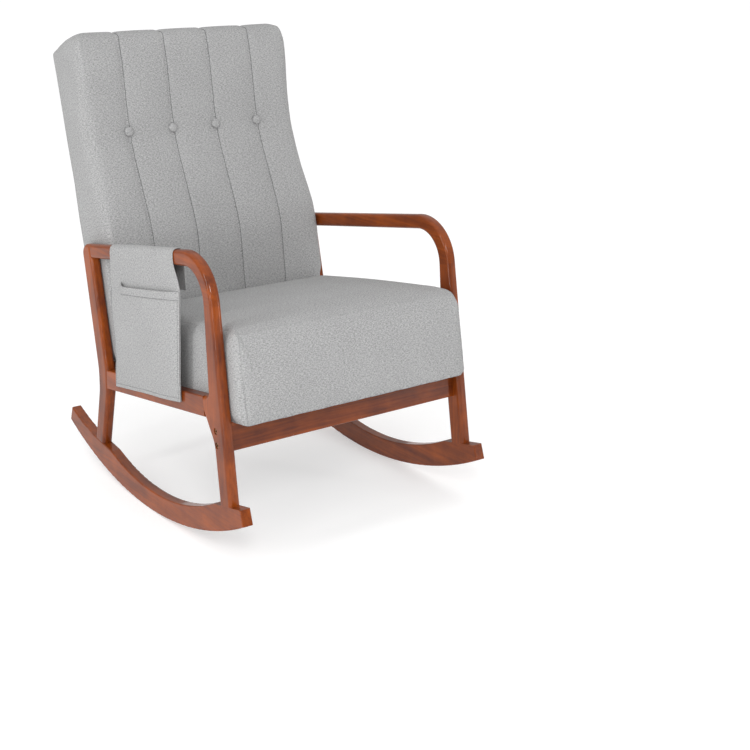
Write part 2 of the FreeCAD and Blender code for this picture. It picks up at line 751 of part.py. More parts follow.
def back_block(inset, half_width, rounding):
    """Solid of the back unit's outline with rounded front and top edges."""
    block = slab(back_outline(inset), -half_width, half_width)
    if not rounding:
        return block
    chosen = []
    for edge in block.Edges:
        ends = [v.Point for v in edge.Vertexes]
        if len(ends) < 2 or abs(ends[0].x - ends[1].x) > 1e-6:
            continue
        middle = edge.valueAt((edge.FirstParameter + edge.LastParameter) / 2)
        on_rear = middle.y > back_rear(middle.z) - inset - 2.0
        on_base = middle.z < BACK_BOTTOM + inset + 1.0
        if not on_rear and not on_base:
            chosen.append(edge)
    return block.makeFillet(rounding, chosen)


def button_points():
    """Where the buttons sit on the front face, and the way they face."""
    y, z = back_front_points()[3]
    way = V(0, -1, 0.32)
    way.normalize()
    middle = (BUTTON_COUNT - 1) / 2
    return [V((i - middle) * BUTTON_PITCH, y, z) for i in range(BUTTON_COUNT)], way


BUTTON_SINK = 5.0
BUTTON_THICK = 7.0
BUTTON_CORD = 44.0       # length of its tie cord


def button(point, way):
    """Cloth-covered button: a low dome on a short disc, sunk in the cushion."""
    start = point - way * BUTTON_SINK
    disc = stud(start, way, BUTTON_THICK, BUTTON_RADIUS)
    rim = [e for e in disc.Edges if len(e.Vertexes) == 1
           and e.CenterOfMass.distanceToPoint(start + way * BUTTON_THICK) < 0.5]
    return disc.makeFillet(BUTTON_THICK * 0.45, rim)


def button_well(point, way):
    """Room for a button in the cushion."""
    start = point - way * (BUTTON_SINK + FIT)
    return stud(start, way, BUTTON_THICK + 30.0, BUTTON_RADIUS + 0.4)


def button_cord_pegs():
    """Cord from each button through a webbing strap behind it, as (start, way, length)."""
    points, way = button_points()
    return [(p - way * (BUTTON_SINK + 0.2), way * -1.0, BUTTON_CORD) for p in points]


def button_cords():
    """The tie cords of the buttons."""
    return Part.makeCompound([stud(s, w, n, 0.9) for s, w, n in button_cord_pegs()])


def button_cuts():
    """Everything taken out of the cushion for the buttons and their cords."""
    points, way = button_points()
    wells = [button_well(p, way) for p in points]
    return wells + [stud(s, w, n + 2.0, 1.3) for s, w, n in button_cord_pegs()]


def back_cover():
    """Fabric cover over the front, top, sides and bottom of the back, open at the rear."""
    outer = back_block(0.0, HALF_UNIT, SOFT_ROUND)
    inner = back_block(COVER, HALF_UNIT - COVER, SOFT_ROUND - COVER)
    shell = outer.cut(inner).cut(rear_opening())
    return shell.cut(Part.makeCompound(button_cuts()))


REAR_PANEL_LOW = 8.0     # from the back's lower end to the rear panel
REAR_PANEL_HIGH = 16.0   # from the panel to the back's upper end
REAR_PANEL_HALF = HALF_UNIT - COVER - 3.0


def rear_opening():
    """Slab just inside the rear face, which the rear panel fills."""
    half = REAR_PANEL_HALF
    return in_back(box(-half, half, -COVER * 1.6, 4.0, REAR_PANEL_LOW, BACK_HEIGHT - REAR_PANEL_HIGH))


def rear_panel():
    """Fabric panel that closes the rear of the back."""
    half = REAR_PANEL_HALF - FIT
    return in_back(box(-half, half, -COVER, -0.2, REAR_PANEL_LOW + FIT,
                       BACK_HEIGHT - REAR_PANEL_HIGH - FIT))


FRAME_REAR = 4.0         # from the back's rear face to its wooden frame
WEBBING_REAR = FRAME_REAR + BACK_SIDE_DEPTH      # from the rear face to the webbing


def back_frame_box(x0, x1, s0, s1, depth=BACK_BOARD):
    """Board of the back's wooden frame, drawn on the back's slope."""
    return in_back(box(x0, x1, -FRAME_REAR - depth, -FRAME_REAR, s0, s1))


def back_frame_limits():
    """Half width, lower end and upper end of the back's wooden frame."""
    return HALF_UNIT - COVER, 12.0, BACK_HEIGHT - 26.0


def back_side_board(side):
    """Deep side board of the back's wooden frame; side is -1 on the left, 1 on the right."""
    half, low, high = back_frame_limits()
    x0, x1 = sorted((side * half, side * (half - BACK_BOARD)))
    return back_frame_box(x0, x1, low, high, BACK_SIDE_DEPTH)


def back_boards():
    """The boards of the back's wooden frame, by node name."""
    half, low, high = back_frame_limits()
    inner = half - BACK_BOARD
    return {
        "back_frame_left_board": back_side_board(-1),
        "back_frame_right_board": back_side_board(1),
        "back_frame_top_board": back_frame_box(-inner, inner, high - BACK_STRIP, high),
        "back_frame_bottom_board": back_frame_box(-inner, inner, low, low + BACK_STRIP),
    }


WEB_THICK = 1.6
WEB_WIDTH = 50.0
WEB_COUNT = 7


def back_webbing():
    """Elastic straps stretched across the front edges of the back's side boards."""
    half, low, high = back_frame_limits()
    spacing = (high - low - WEB_WIDTH - 16.0) / (WEB_COUNT - 1)
    straps = []
    for i in range(WEB_COUNT):
        start = low + 8.0 + i * spacing
        straps.append(in_back(box(-half, half, -WEBBING_REAR - WEB_THICK, -WEBBING_REAR,
                                  start, start + WEB_WIDTH)))
    return Part.makeCompound(straps).cut(Part.makeCompound(button_cuts()))


def back_foam():
    """Foam of the back, in front of the webbing."""
    block = back_block(COVER, HALF_UNIT - COVER, SOFT_ROUND - COVER)
    depth = WEBBING_REAR + WEB_THICK + 0.2
    reach = 200.0
    frame_space = in_back(box(-WIDTH, WIDTH, -depth, reach, -reach, BACK_HEIGHT + reach))
    return block.cut(frame_space).cut(Part.makeCompound(button_cuts()))


# --- side pocket -------------------------------------------------------------------
def pocket_point(run, drop):
    """Side-view point on the pocket: run rearwards from its front edge, drop below the armrest."""
    y = POCKET_FRONT + run - POCKET_LEAN * drop
    return (y, arm_under(POCKET_FRONT + run) - drop)


def pocket_sheet(x_low, x_high, first_run, last_run, high_drop, low_drop):
    """Upright layer of the pocket between two X planes."""
    corners = [pocket_point(first_run, low_drop), pocket_point(first_run, high_drop),
               pocket_point(last_run, high_drop), pocket_point(last_run, low_drop)]
    return slab(outline(corners), x_low, x_high)


def pocket_panel():
    """Cloth folded over the armrest: long outside, short on the seat side."""
    outer_x = -OUTER - POCKET_CLEAR
    inner_x = -INNER + POCKET_CLEAR
    over = -ARM_DEPTH - POCKET_CLEAR - POCKET_CLOTH
    under_lid = over + POCKET_CLOTH
    outside = pocket_sheet(outer_x - POCKET_CLOTH, outer_x, 0, POCKET_LENGTH, over, POCKET_DROP)
    inside = pocket_sheet(inner_x, inner_x + POCKET_CLOTH, 0, POCKET_LENGTH, over,
                          POCKET_INNER_DROP)
    lid = pocket_sheet(outer_x - POCKET_CLOTH, inner_x + POCKET_CLOTH, 0, POCKET_LENGTH, over,
                       under_lid)
    return outside.fuse(inside).fuse(lid).removeSplitter()


def pocket_pouch():
    """Open-topped pouch sewn on the outside of the panel."""
    back_x = -OUTER - POCKET_CLEAR - POCKET_CLOTH
    thick = POCKET_CLOTH
    whole = pocket_sheet(back_x - POUCH_DEPTH - thick, back_x, 0, POUCH_LENGTH,
                         POUCH_TOP_DROP, POCKET_DROP)
    room = pocket_sheet(back_x - POUCH_DEPTH, back_x + 1.0, thick, POUCH_LENGTH - thick,
                        POUCH_TOP_DROP - 20.0, POCKET_DROP - thick)
    return whole.cut(room)


def pocket_grip_strip():
    """Hook-and-loop strip on the short flap."""
    inner_x = -INNER + POCKET_CLEAR + POCKET_CLOTH
    return pocket_sheet(inner_x, inner_x + 1.5, 6.0, POCKET_LENGTH - 6.0,
                        POCKET_INNER_DROP - 22.0, POCKET_INNER_DROP - 4.0)


# --- assembly ----------------------------------------------------------------------
def drilled(solid, holes):
    """The solid with all holes taken out."""
    return solid.cut(Part.makeCompound(holes)) if holes else solid


def side_frame_pieces():
    """The five wooden pieces of each side frame, drilled for their fasteners."""
    seat_points, back_points = side_bolt_points()
    rocker_holes = widened(rocker_pegs())
    arm_holes = widened(armrest_pegs())
    rail_holes = widened(side_rail_pegs())
    rear_holes = widened(rear_rail_pegs())
    bolt_holes = [front_bolt_hole(p) for p in front_bolt_points()]
    seat_holes = [side_bolt_hole(p) for p in seat_points]
    back_holes = [side_bolt_hole(p) for p in back_points]
    left = {
        "armrest": drilled(armrest(), arm_holes),
        "front_leg": drilled(front_leg(), arm_holes + rail_holes + rocker_holes + bolt_holes),
        "rear_leg": drilled(rear_leg(), arm_holes + rail_holes + rocker_holes + rear_holes + back_holes),
        "side_rail": drilled(side_rail(), rail_holes + seat_holes),
        "rocker": drilled(rocker(), rocker_holes),
    }
    pieces = {}
    for name, solid in left.items():
        pieces["left_" + name] = solid
        pieces["right_" + name] = mirrored(solid)
    return pieces


def cross_rail_pieces():
    """The front and rear rails, drilled at both ends."""
    front_holes = [front_bolt_hole(p) for p in front_bolt_points()]
    front_holes += [barrel_nut_hole(p) for p in front_bolt_points()]
    front_holes += [mirrored(h) for h in front_holes]
    rear_holes = widened(rear_rail_pegs())
    rear_holes += [mirrored(h) for h in rear_holes]
    return {"front_rail": drilled(front_rail(), front_holes),
            "rear_rail": drilled(rear_rail(), rear_holes)}


def fastener_groups():
    """Dowels, bolts, nuts and spacers, each kind as one group."""
    seat_points, back_points = side_bolt_points()

    def pair(solids):
        return Part.makeCompound(solids + [mirrored(s) for s in solids])

    return {
        "rocker_dowels": both_sides(rocker_pegs()),
        "armrest_dowels": both_sides(armrest_pegs()),
        "side_rail_dowels": both_sides(side_rail_pegs()),
        "rear_rail_dowels": both_sides(rear_rail_pegs()),
        "front_rail_bolts": pair([front_bolt(p) for p in front_bolt_points()]),
        "front_rail_barrel_nuts": pair([barrel_nut(p) for p in front_bolt_points()]),
        "seat_bolts": pair([side_bolt(p, SEAT_BOARD) for p in seat_points]),
        "seat_spacers": pair([spacer(p) for p in seat_points]),
        "back_bolts": pair([side_bolt(p, BACK_BOARD) for p in back_points]),
        "back_spacers": pair([spacer(p) for p in back_points]),
    }


def seat_pieces():
    """Every piece of the seat unit."""
    seat_points, _ = side_bolt_points()
    holes = [side_bolt_hole(p) for p in seat_points]
    holes += [mirrored(h) for h in holes]
    pieces = {name: drilled(solid, holes) for name, solid in seat_boards().items()}
    pieces["seat_corner_blocks"] = seat_corner_blocks()
    pieces["seat_springs"] = seat_springs()
    pieces["seat_spring_clips"] = seat_spring_clips()
    pieces["seat_insulator_pad"] = seat_insulator()
    pieces["seat_foam"] = seat_foam()
    pieces["seat_cover"] = drilled(seat_cover(), holes)
    pieces["seat_dust_cover"] = seat_dust_cover()
    return pieces


def back_pieces():
    """Every piece of the back unit."""
    _, back_points = side_bolt_points()
    holes = [side_bolt_hole(p) for p in back_points]
    holes += [mirrored(h) for h in holes]
    heads = [side_bolt_head_room(p, BACK_BOARD) for p in back_points]
    heads += [mirrored(h) for h in heads]
    points, way = button_points()
    pieces = {name: drilled(solid, holes) for name, solid in back_boards().items()}
    pieces["back_webbing"] = back_webbing()
    pieces["back_foam"] = drilled(back_foam(), heads)
    pieces["back_cover"] = drilled(back_cover(), holes)
    pieces["back_rear_panel"] = rear_panel()
    pieces["back_buttons"] = Part.makeCompound([button(p, way) for p in points])
    pieces["back_button_cords"] = button_cords()
    return pieces


def pocket_pieces():
    """Every piece of the side pocket."""
    return {"pocket_panel": pocket_panel(), "pocket_pouch": pocket_pouch(),
            "pocket_grip_strip": pocket_grip_strip()}


def place(pieces):
    """Move every piece so that the origin is under the middle of the whole chair's box."""
    whole = Part.makeCompound(list(pieces.values())).optimalBoundingBox(False)
    shift = V(-(whole.XMin + whole.XMax) / 2, -(whole.YMin + whole.YMax) / 2, -whole.ZMin)
    for shape in pieces.values():
        shape.translate(shift)
    return shift, whole


def main():
    """Build every piece, place it and write one STEP file for each node."""
    pieces = {}
    for group in (side_frame_pieces, cross_rail_pieces, fastener_groups, seat_pieces, back_pieces,
                  pocket_pieces):
        pieces.update(group())
    shift, whole = place(pieces)
    print("shift", [round(v, 3) for v in shift], "size",
          round(whole.XLength, 1), round(whole.YLength, 1), round(whole.ZLength, 1))
    os.makedirs("parts", exist_ok=True)
    for name, shape in pieces.items():
        solids = shape.Solids
        print(name, len(solids), shape.isValid(), round(sum(s.Volume for s in solids) / 1000, 1))
        shape.exportStep("parts/" + name + ".step")


main()
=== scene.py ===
import math

import bpy
import numpy as np
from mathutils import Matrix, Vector


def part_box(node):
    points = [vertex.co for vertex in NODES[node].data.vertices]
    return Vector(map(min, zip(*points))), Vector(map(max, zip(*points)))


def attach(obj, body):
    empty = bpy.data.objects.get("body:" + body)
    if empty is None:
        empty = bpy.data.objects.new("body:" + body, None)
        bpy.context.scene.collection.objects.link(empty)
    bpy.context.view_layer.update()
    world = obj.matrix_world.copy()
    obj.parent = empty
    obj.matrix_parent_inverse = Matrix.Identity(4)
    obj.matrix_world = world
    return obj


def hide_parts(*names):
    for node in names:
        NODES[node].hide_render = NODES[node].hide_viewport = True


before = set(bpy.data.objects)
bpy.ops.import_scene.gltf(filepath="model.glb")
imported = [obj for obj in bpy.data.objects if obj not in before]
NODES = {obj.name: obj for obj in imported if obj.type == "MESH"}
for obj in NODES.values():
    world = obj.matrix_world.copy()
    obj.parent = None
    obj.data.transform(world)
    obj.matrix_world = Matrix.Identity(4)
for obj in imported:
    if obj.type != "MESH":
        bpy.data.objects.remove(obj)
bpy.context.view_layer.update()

# Looks of an upholstered rocking chair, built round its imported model. Lengths are in
# millimetres until row() turns them into the frame's metres. X = 0 is the chair's middle
# plane, Z = 0 the floor, -Y the front, and Y = 0 the front leg's face at 300 mm height.

# --- driving sizes, the same as the CAD model's ------------------------------------
HALF = 286.0             # half the width of the seat and back units
TILT = math.radians(8.7)         # the seat falls towards the rear
RECLINE = math.radians(17.0)     # the back's rear face leans back
SEAT_FRONT, SEAT_FRONT_HEIGHT = -37.0, 307.0     # Y and Z of the seat's lower front edge
SEAT_LENGTH, SEAT_DEPTH = 548.0, 195.0
BACK_BOTTOM, BACK_REAR = 282.0, 634.0            # Z and Y of the back's lower rear edge
BACK_TOP_REAR = 991.0    # Z of the back's upper rear edge
TOP_SLOPE = 0.548        # the back's top face falls rearwards by this much for each unit
SEAM_PITCH = 119.0       # distance between the back's channels
BUTTON_Y, BUTTON_Z, BUTTON_RADIUS = 669.0, 809.0, 11.5
ARM_TOP, ARM_DEPTH = 664.0, 34.0
ARM_SLOPE = math.tan(TILT) * 1.08
POCKET_FRONT, POCKET_LENGTH = 196.0, 296.0       # Y of the front edge, length along the arm
POCKET_LEAN = 0.085      # the short flap hangs forwards by this much for each unit
POCKET_DROP = 297.0      # the pocket's hem below the armrest
POUCH_TOP = 56.0         # the pouch's mouth below the armrest
MOUTH_SHARE = 0.83       # the mouth is open from the front edge to this share of the length

ROCKER_TIP = -74.0       # Y of the rockers' front tips
left_rocker_low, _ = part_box("left_rocker")
ORIGIN = np.array([(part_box("left_armrest")[0].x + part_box("right_armrest")[1].x) / 2,
                   left_rocker_low.y - ROCKER_TIP / 1000, 0.0])
SEAMS = [(i - 1.5) * SEAM_PITCH for i in range(4)]       # X of the four channels


def row(points):
    """Millimetres in the chair's own axes to metres in the frame."""
    return np.asarray(points, float) / 1000 + ORIGIN


# --- node material helpers ---------------------------------------------------------
class Nodes:
    """Short way to write a material's node tree."""

    def __init__(self, name):
        self.material = bpy.data.materials.new(name)
        self.material.use_nodes = True
        self.tree = self.material.node_tree
        self.shader = self.tree.nodes["Principled BSDF"]

    def add(self, kind, inputs=None, **settings):
        node = self.tree.nodes.new(kind)
        for key, value in settings.items():
            setattr(node, key, value)
        for key, value in (inputs or {}).items():
            self.put(node.inputs[key], value)
        return node

    def put(self, socket, value):
        if isinstance(value, bpy.types.NodeSocket):
            self.tree.links.new(value, socket)
        else:
            socket.default_value = value

    def math(self, operation, a, b=0.0):
        node = self.add("ShaderNodeMath", operation=operation)
        for socket, value in zip(node.inputs, (a, b)):
            self.put(socket, value)
        return node.outputs[0]

    def ramp(self, value, low, high, to_low=0.0, to_high=1.0):
        node = self.add("ShaderNodeMapRange", {"Value": value, "From Min": low, "From Max": high,
                                               "To Min": to_low, "To Max": to_high})
        return node.outputs["Result"]

    def noise(self, vector, scale, detail=2.0, rough=0.5):
        node = self.add("ShaderNodeTexNoise", {"Vector": vector, "Scale": scale, "Detail": detail,
                                               "Roughness": rough})
        return node.outputs["Fac"]

    def stretch(self, vector, scale):
        return self.add("ShaderNodeMapping", {"Vector": vector, "Scale": scale}).outputs[0]

    def blend(self, share, a, b):
        node = self.add("ShaderNodeMix", data_type="RGBA")
        for key, value in ((0, share), (6, a), (7, b)):
            self.put(node.inputs[key], value)
        return node.outputs[2]

    def bump(self, height, distance, strength=1.0):
        node = self.add("ShaderNodeBump", {"Height": height, "Distance": distance, "Strength": strength})
        return node.outputs[0]

    def finish(self, **sockets):
        for key, value in sockets.items():
            self.put(self.shader.inputs[key.replace("_", " ")], value)
        return self.material


def rgb(red, green, blue):
    """Linear colour from 0-255 display values."""
    def linear(v):
        v = v / 255
        return v / 12.92 if v <= 0.04045 else ((v + 0.055) / 1.055) ** 2.4
    return (linear(red), linear(green), linear(blue), 1.0)


# --- materials ---------------------------------------------------------------------
YARN = 0.0011            # distance between yarns, metres
UPRIGHT_SLUBS = (740.0, 200.0, 1.0)      # thick places of the yarns, as counts per metre
LEVEL_SLUBS = (180.0, 740.0, 1.0)
RELIEF = 0.0005          # depth of the weave, metres


def woven_cloth(name, light, dark):
    """Plain-woven heather cloth: crossing yarns that vary in thickness and shade."""
    m = Nodes(name)
    place = m.add("ShaderNodeUVMap", uv_map="weave").outputs[0]
    split = m.add("ShaderNodeSeparateXYZ", {"Vector": place})
    across, along = split.outputs[0], split.outputs[1]
    turns = math.pi / YARN
    sway = m.math("MULTIPLY", m.noise(place, 160.0, 2.0), 0.6 * YARN)
    across_wave = m.math("SINE", m.math("MULTIPLY", m.math("ADD", across, sway), turns))
    along_wave = m.math("SINE", m.math("MULTIPLY", m.math("ADD", along, sway), turns))
    warp = m.math("ABSOLUTE", across_wave)
    weft = m.math("ABSOLUTE", along_wave)
    over = m.math("GREATER_THAN", m.math("MULTIPLY", across_wave, along_wave), 0.0)
    thread = m.math("ADD", m.math("MULTIPLY", warp, over),
                    m.math("MULTIPLY", weft, m.math("SUBTRACT", 1.0, over)))
    slub_up = m.noise(m.stretch(place, UPRIGHT_SLUBS), 1.0, 2.0, 0.6)
    slub_side = m.noise(m.stretch(place, LEVEL_SLUBS), 1.0, 2.0, 0.6)
    heather = m.noise(place, 640.0, 2.0, 0.6)
    cloud = m.noise(place, 9.0, 3.0, 0.55)
    shade = m.math("ADD", m.math("MULTIPLY", slub_up, 0.30), m.math("MULTIPLY", slub_side, 0.42))
    shade = m.math("ADD", shade, m.math("MULTIPLY", heather, 0.28))
    shade = m.math("ADD", shade, m.math("MULTIPLY", m.math("SUBTRACT", thread, 0.6), 0.08))
    shade = m.math("ADD", shade, m.math("MULTIPLY", m.math("SUBTRACT", cloud, 0.5), 0.04))
    colour = m.blend(m.ramp(shade, 0.41, 0.59), dark, light)
    relief = m.math("ADD", m.math("MULTIPLY", thread, 0.8), m.math("MULTIPLY", shade, 0.12))
    return m.finish(Base_Color=colour, Roughness=0.9, Specular_IOR_Level=0.2,
                    Sheen_Weight=0.06, Sheen_Roughness=0.5,
                    Normal=m.bump(relief, RELIEF, 0.5))


def lacquered_wood(name, along):
    """Stained close-grained wood under semi-gloss lacquer; along is 0, 1 or 2 for the grain's axis."""
    m = Nodes(name)
    place = m.add("ShaderNodeTexCoord").outputs["Object"]
    # counts per metre across the grain, then along it
    fine, coarse, pore = [190.0] * 3, [34.0] * 3, [900.0] * 3
    fine[along], coarse[along], pore[along] = 5.0, 2.2, 28.0
    bend = m.noise(place, 4.0, 2.0)
    reach = (0.014, 0.014, 0.014)        # how far the grain wanders, metres
    shift = m.add("ShaderNodeVectorMath", {0: bend, 1: reach}, operation="MULTIPLY").outputs[0]
    moved = m.add("ShaderNodeVectorMath", {0: place, 1: shift}, operation="ADD").outputs[0]
    streak = m.noise(m.stretch(moved, fine), 1.0, 4.0, 0.6)
    band = m.noise(m.stretch(moved, coarse), 1.0, 3.0, 0.55)
    cloud = m.noise(place, 14.0, 3.0, 0.6)
    pores = m.ramp(m.noise(m.stretch(moved, pore), 1.0, 2.0, 0.5), 0.60, 0.72)
    share = m.math("ADD", m.math("MULTIPLY", streak, 0.3), m.math("MULTIPLY", band, 0.4))
    share = m.math("ADD", share, m.math("MULTIPLY", cloud, 0.3))
    colour = m.blend(m.ramp(share, 0.38, 0.62), rgb(86, 34, 9), rgb(140, 65, 14))
    colour = m.blend(m.math("MULTIPLY", pores, 0.30), colour, rgb(50, 18, 8))
    relief = m.math("SUBTRACT", m.math("MULTIPLY", streak, 0.4), m.math("MULTIPLY", pores, 0.4))
    return m.finish(Base_Color=colour, Roughness=m.ramp(streak, 0.3, 0.7, 0.42, 0.52),
                    Specular_IOR_Level=0.08, Coat_Weight=0.62, Coat_IOR=1.42,
                    Coat_Roughness=0.08, Normal=m.bump(relief, 0.0004, 0.30))


def raw_wood():
    """Unfinished softwood of the hidden frames and dowels."""
    m = Nodes("raw_wood")
    place = m.add("ShaderNodeTexCoord").outputs["Object"]
    streak = m.noise(m.stretch(place, (6.0, 120.0, 120.0)), 1.0, 3.0, 0.6)
    colour = m.blend(m.ramp(streak, 0.3, 0.7), rgb(176, 138, 92), rgb(214, 182, 136))
    return m.finish(Base_Color=colour, Roughness=0.72, Normal=m.bump(streak, 0.0003, 0.4))


def speckled(name, low, high, scale, roughness, distance, metallic=0.0):
    """Plain finish with a fine grain: felt, thread, plastic, metal."""
    m = Nodes(name)
    place = m.add("ShaderNodeTexCoord").outputs["Object"]
    grain = m.noise(place, scale, 3.0, 0.6)
    colour = m.blend(m.ramp(grain, 0.3, 0.7), low, high)
    rough = m.ramp(grain, 0.3, 0.7, roughness - 0.06, roughness + 0.06)
    return m.finish(Base_Color=colour, Roughness=rough, Metallic=metallic,
                    Normal=m.bump(grain, distance, 0.5))


def stripe_cloth(name, low, high, pitch, axis):
    """Ribbed tape or non-woven cloth, with ribs along one axis."""
    m = Nodes(name)
    place = m.add("ShaderNodeTexCoord").outputs["Object"]
    part = m.add("ShaderNodeSeparateXYZ", {"Vector": place}).outputs[axis]
    rib = m.math("SINE", m.math("MULTIPLY", part, 2 * math.pi / pitch))
    grain = m.math("ADD", m.math("MULTIPLY", rib, 0.25), m.noise(place, 900.0, 3.0, 0.6))
    return m.finish(Base_Color=m.blend(m.ramp(grain, 0.2, 0.8), low, high), Roughness=0.9,
                    Normal=m.bump(grain, 0.0004, 0.6))


CLOTH = woven_cloth("heather_cloth", rgb(178, 178, 178), rgb(122, 122, 122))
DUST_CLOTH = stripe_cloth("dust_cloth", rgb(18, 18, 19), rgb(38, 38, 40), 0.0024, 0)
LOOP_TAPE = stripe_cloth("loop_tape", rgb(168, 170, 170), rgb(200, 202, 202), 0.0016, 1)
WOOD = [lacquered_wood("lacquered_wood_" + axis, i) for i, axis in enumerate("xyz")]
THREAD = speckled("grey_thread", rgb(78, 79, 80), rgb(108, 109, 110), 2500.0, 0.8, 0.0001)
CHANNEL_THREAD = speckled("channel_thread", rgb(44, 45, 46), rgb(70, 71, 72), 2500.0, 0.8, 0.0001)


# --- shapes as distance functions --------------------------------------------------
def rise(value, start, end):
    """0 at start and before, 1 at end and beyond, straight between; start may be the larger."""
    return np.clip((value - start) / (end - start), 0, 1)


def meet(a, b, radius):
    """Distance to where two surfaces meet with a rounded edge."""
    both = np.sqrt(np.maximum(radius + a, 0) ** 2 + np.maximum(radius + b, 0) ** 2)
    return np.minimum(np.maximum(a, b), -radius) + both


def settle(points, distance, rounds=16):
    """Move points onto the surface where a distance function is zero."""
    step = 0.05
    for _ in range(rounds):
        value = distance(points)
        slope = np.stack([(distance(points + step * axis) - value) / step for axis in np.eye(3)], 1)
        size = np.maximum((slope ** 2).sum(1), 0.3)
        points = points - slope * (value / size)[:, None]
    return points


def box_mesh(lines):
    """Grid over a box's six sides: points, faces, and each face's side (0-5)."""
    counts = [len(line) for line in lines]
    index, faces, sides = {}, [], []

    def vertex(key):
        return index.setdefault(key, len(index))

    for axis in range(3):
        a, b = [k for k in range(3) if k != axis]
        for end in (0, counts[axis] - 1):
            for i in range(counts[a] - 1):
                for j in range(counts[b] - 1):
                    corners = []
                    for p, q in ((i, j), (i + 1, j), (i + 1, j + 1), (i, j + 1)):
                        key = [0, 0, 0]
                        key[axis], key[a], key[b] = end, p, q
                        corners.append(vertex(tuple(key)))
                    outward = (end > 0) == (axis != 1)
                    faces.append(corners if outward else corners[::-1])
                    sides.append(axis * 2 + (end > 0))
    keys = sorted(index, key=index.get)
    points = np.array([[lines[k][key[k]] for k in range(3)] for key in keys], float)
    on_box = np.array([[key[k] in (0, counts[k] - 1) for k in range(3)] for key in keys])
    return points, faces, np.array(sides), on_box


def spread(low, high, step, edge_steps=(0, 2.5, 6, 11, 18, 26)):
    """Grid lines from low to high that crowd together near both ends."""
    inner_low, inner_high = low + edge_steps[-1], high - edge_steps[-1]
    count = max(2, round((inner_high - inner_low) / step))
    middle = np.linspace(inner_low, inner_high, count + 1)[1:-1]
    near = [low + s for s in edge_steps]
    far = [high - s for s in reversed(edge_steps)]
    return np.array(near + list(middle) + far)


def rounded_start(points, low, high, radius):
    """First guess for a rounded block, with evenly spread lines over its edges."""
    core = np.clip(points, np.array(low) + radius, np.array(high) - radius)
    out = points - core
    return core + out / np.linalg.norm(out, axis=1)[:, None] * radius


def make_mesh(name, points, faces, material, creases=()):
    """Mesh object from millimetre points; edges between points of one crease set stay sharp."""
    mesh = bpy.data.meshes.new(name)
    mesh.from_pydata(row(points).tolist(), [], [list(f) for f in faces])
    mesh.validate()
    mesh.shade_smooth()
    mesh.materials.append(material)
    if len(creases):
        ends = np.zeros(len(mesh.edges) * 2, int)
        mesh.edges.foreach_get("vertices", ends)
        ends = ends.reshape(-1, 2)
        sharp = sum((c[ends[:, 0]] & c[ends[:, 1]]).astype(float) for c in creases)
        layer = mesh.attributes.new("crease_edge", "FLOAT", "EDGE")
        layer.data.foreach_set("value", np.clip(sharp, 0, 1))
    piece = bpy.data.objects.new(name, mesh)
    bpy.context.scene.collection.objects.link(piece)
    return piece


def mesh_points(piece):
    """The piece's points, back in millimetres."""
    values = np.zeros(len(piece.data.vertices) * 3)
    piece.data.vertices.foreach_get("co", values)
    return (values.reshape(-1, 3) - ORIGIN) * 1000


def lay_weave(piece, corner_uvs):
    """Store the cloth's own coordinates, in metres, for each face corner."""
    layer = piece.data.uv_layers.new(name="weave")
    layer.data.foreach_set("uv", (np.asarray(corner_uvs, float) / 1000).ravel())


def box_weave(points, faces, sides, wrap):
    """Face-corner cloth coordinates: side faces lie flat, the rest wraps round the X axis."""
    values = []
    for corners, side in zip(faces, sides):
        for v in corners:
            x, y, z = points[v]
            values.append((y, z) if side < 2 else (x, wrap(y, z)))
    return values


def puff(piece, held, pressure, cap, frames=16):
    """Blow the cover out with a cloth simulation, by no more than the cap; held points stay."""
    mesh = piece.data
    rest = np.zeros(len(mesh.vertices) * 3)
    mesh.vertices.foreach_get("co", rest)
    rest = rest.reshape(-1, 3)
    group = piece.vertex_groups.new(name="held")
    group.add([int(i) for i in np.nonzero(held)[0]], 1.0, "REPLACE")
    cloth = piece.modifiers.new("cloth", "CLOTH")
    s = cloth.settings
    s.quality = 5
    s.mass = 0.3
    s.tension_stiffness = s.compression_stiffness = 12.0
    s.shear_stiffness = 5.0
    s.bending_stiffness = 0.8
    s.use_pressure = True
    s.uniform_pressure_force = pressure
    s.effector_weights.gravity = 0.0
    s.vertex_group_mass = "held"
    cloth.collision_settings.use_collision = False
    cloth.point_cache.frame_start, cloth.point_cache.frame_end = 1, frames
    scene = bpy.context.scene
    for f in range(1, frames + 1):
        scene.frame_set(f)
    evaluated = piece.evaluated_get(bpy.context.evaluated_depsgraph_get())
    moved = np.zeros(len(rest) * 3)
    evaluated.data.vertices.foreach_get("co", moved)
    move = moved.reshape(-1, 3) - rest
    length = np.linalg.norm(move, axis=1)
    move *= (cap / 1000 * np.tanh(length / (cap / 1000)) / np.maximum(length, 1e-9))[:, None]
    piece.modifiers.remove(cloth)
    piece.vertex_groups.clear()
    scene.frame_set(1)
    mesh.vertices.foreach_set("co", (rest + move).ravel())
    mesh.update()


def subdivide(piece, levels=1):
    """Subdivision surface, applied."""
    modifier = piece.modifiers.new("subdivision", "SUBSURF")
    modifier.levels = modifier.render_levels = levels
    with bpy.context.temp_override(object=piece, active_object=piece, selected_objects=[piece]):
        bpy.ops.object.modifier_apply(modifier=modifier.name)


# --- seat cushion ------------------------------------------------------------------
COVER = 1.5              # how far the cover stands off the plain block
SEAT_BULGE, SEAT_WAIST, SEAT_FLARE = 8.0, 4.0, 1.5       # sides: at the bottom, less on top, more in front
SEAT_CROWN, SEAT_RISE, SEAT_BELLY = 10.0, 4.0, 5.0       # top across, top along, front face
SEAT_START_RADIUS = 14.0     # edge radius of the seat's first guess
TOP_SEAM_DEPTH, FRONT_SEAM_DEPTH, BACK_SEAM_DEPTH = 2.6, 3.2, 1.8


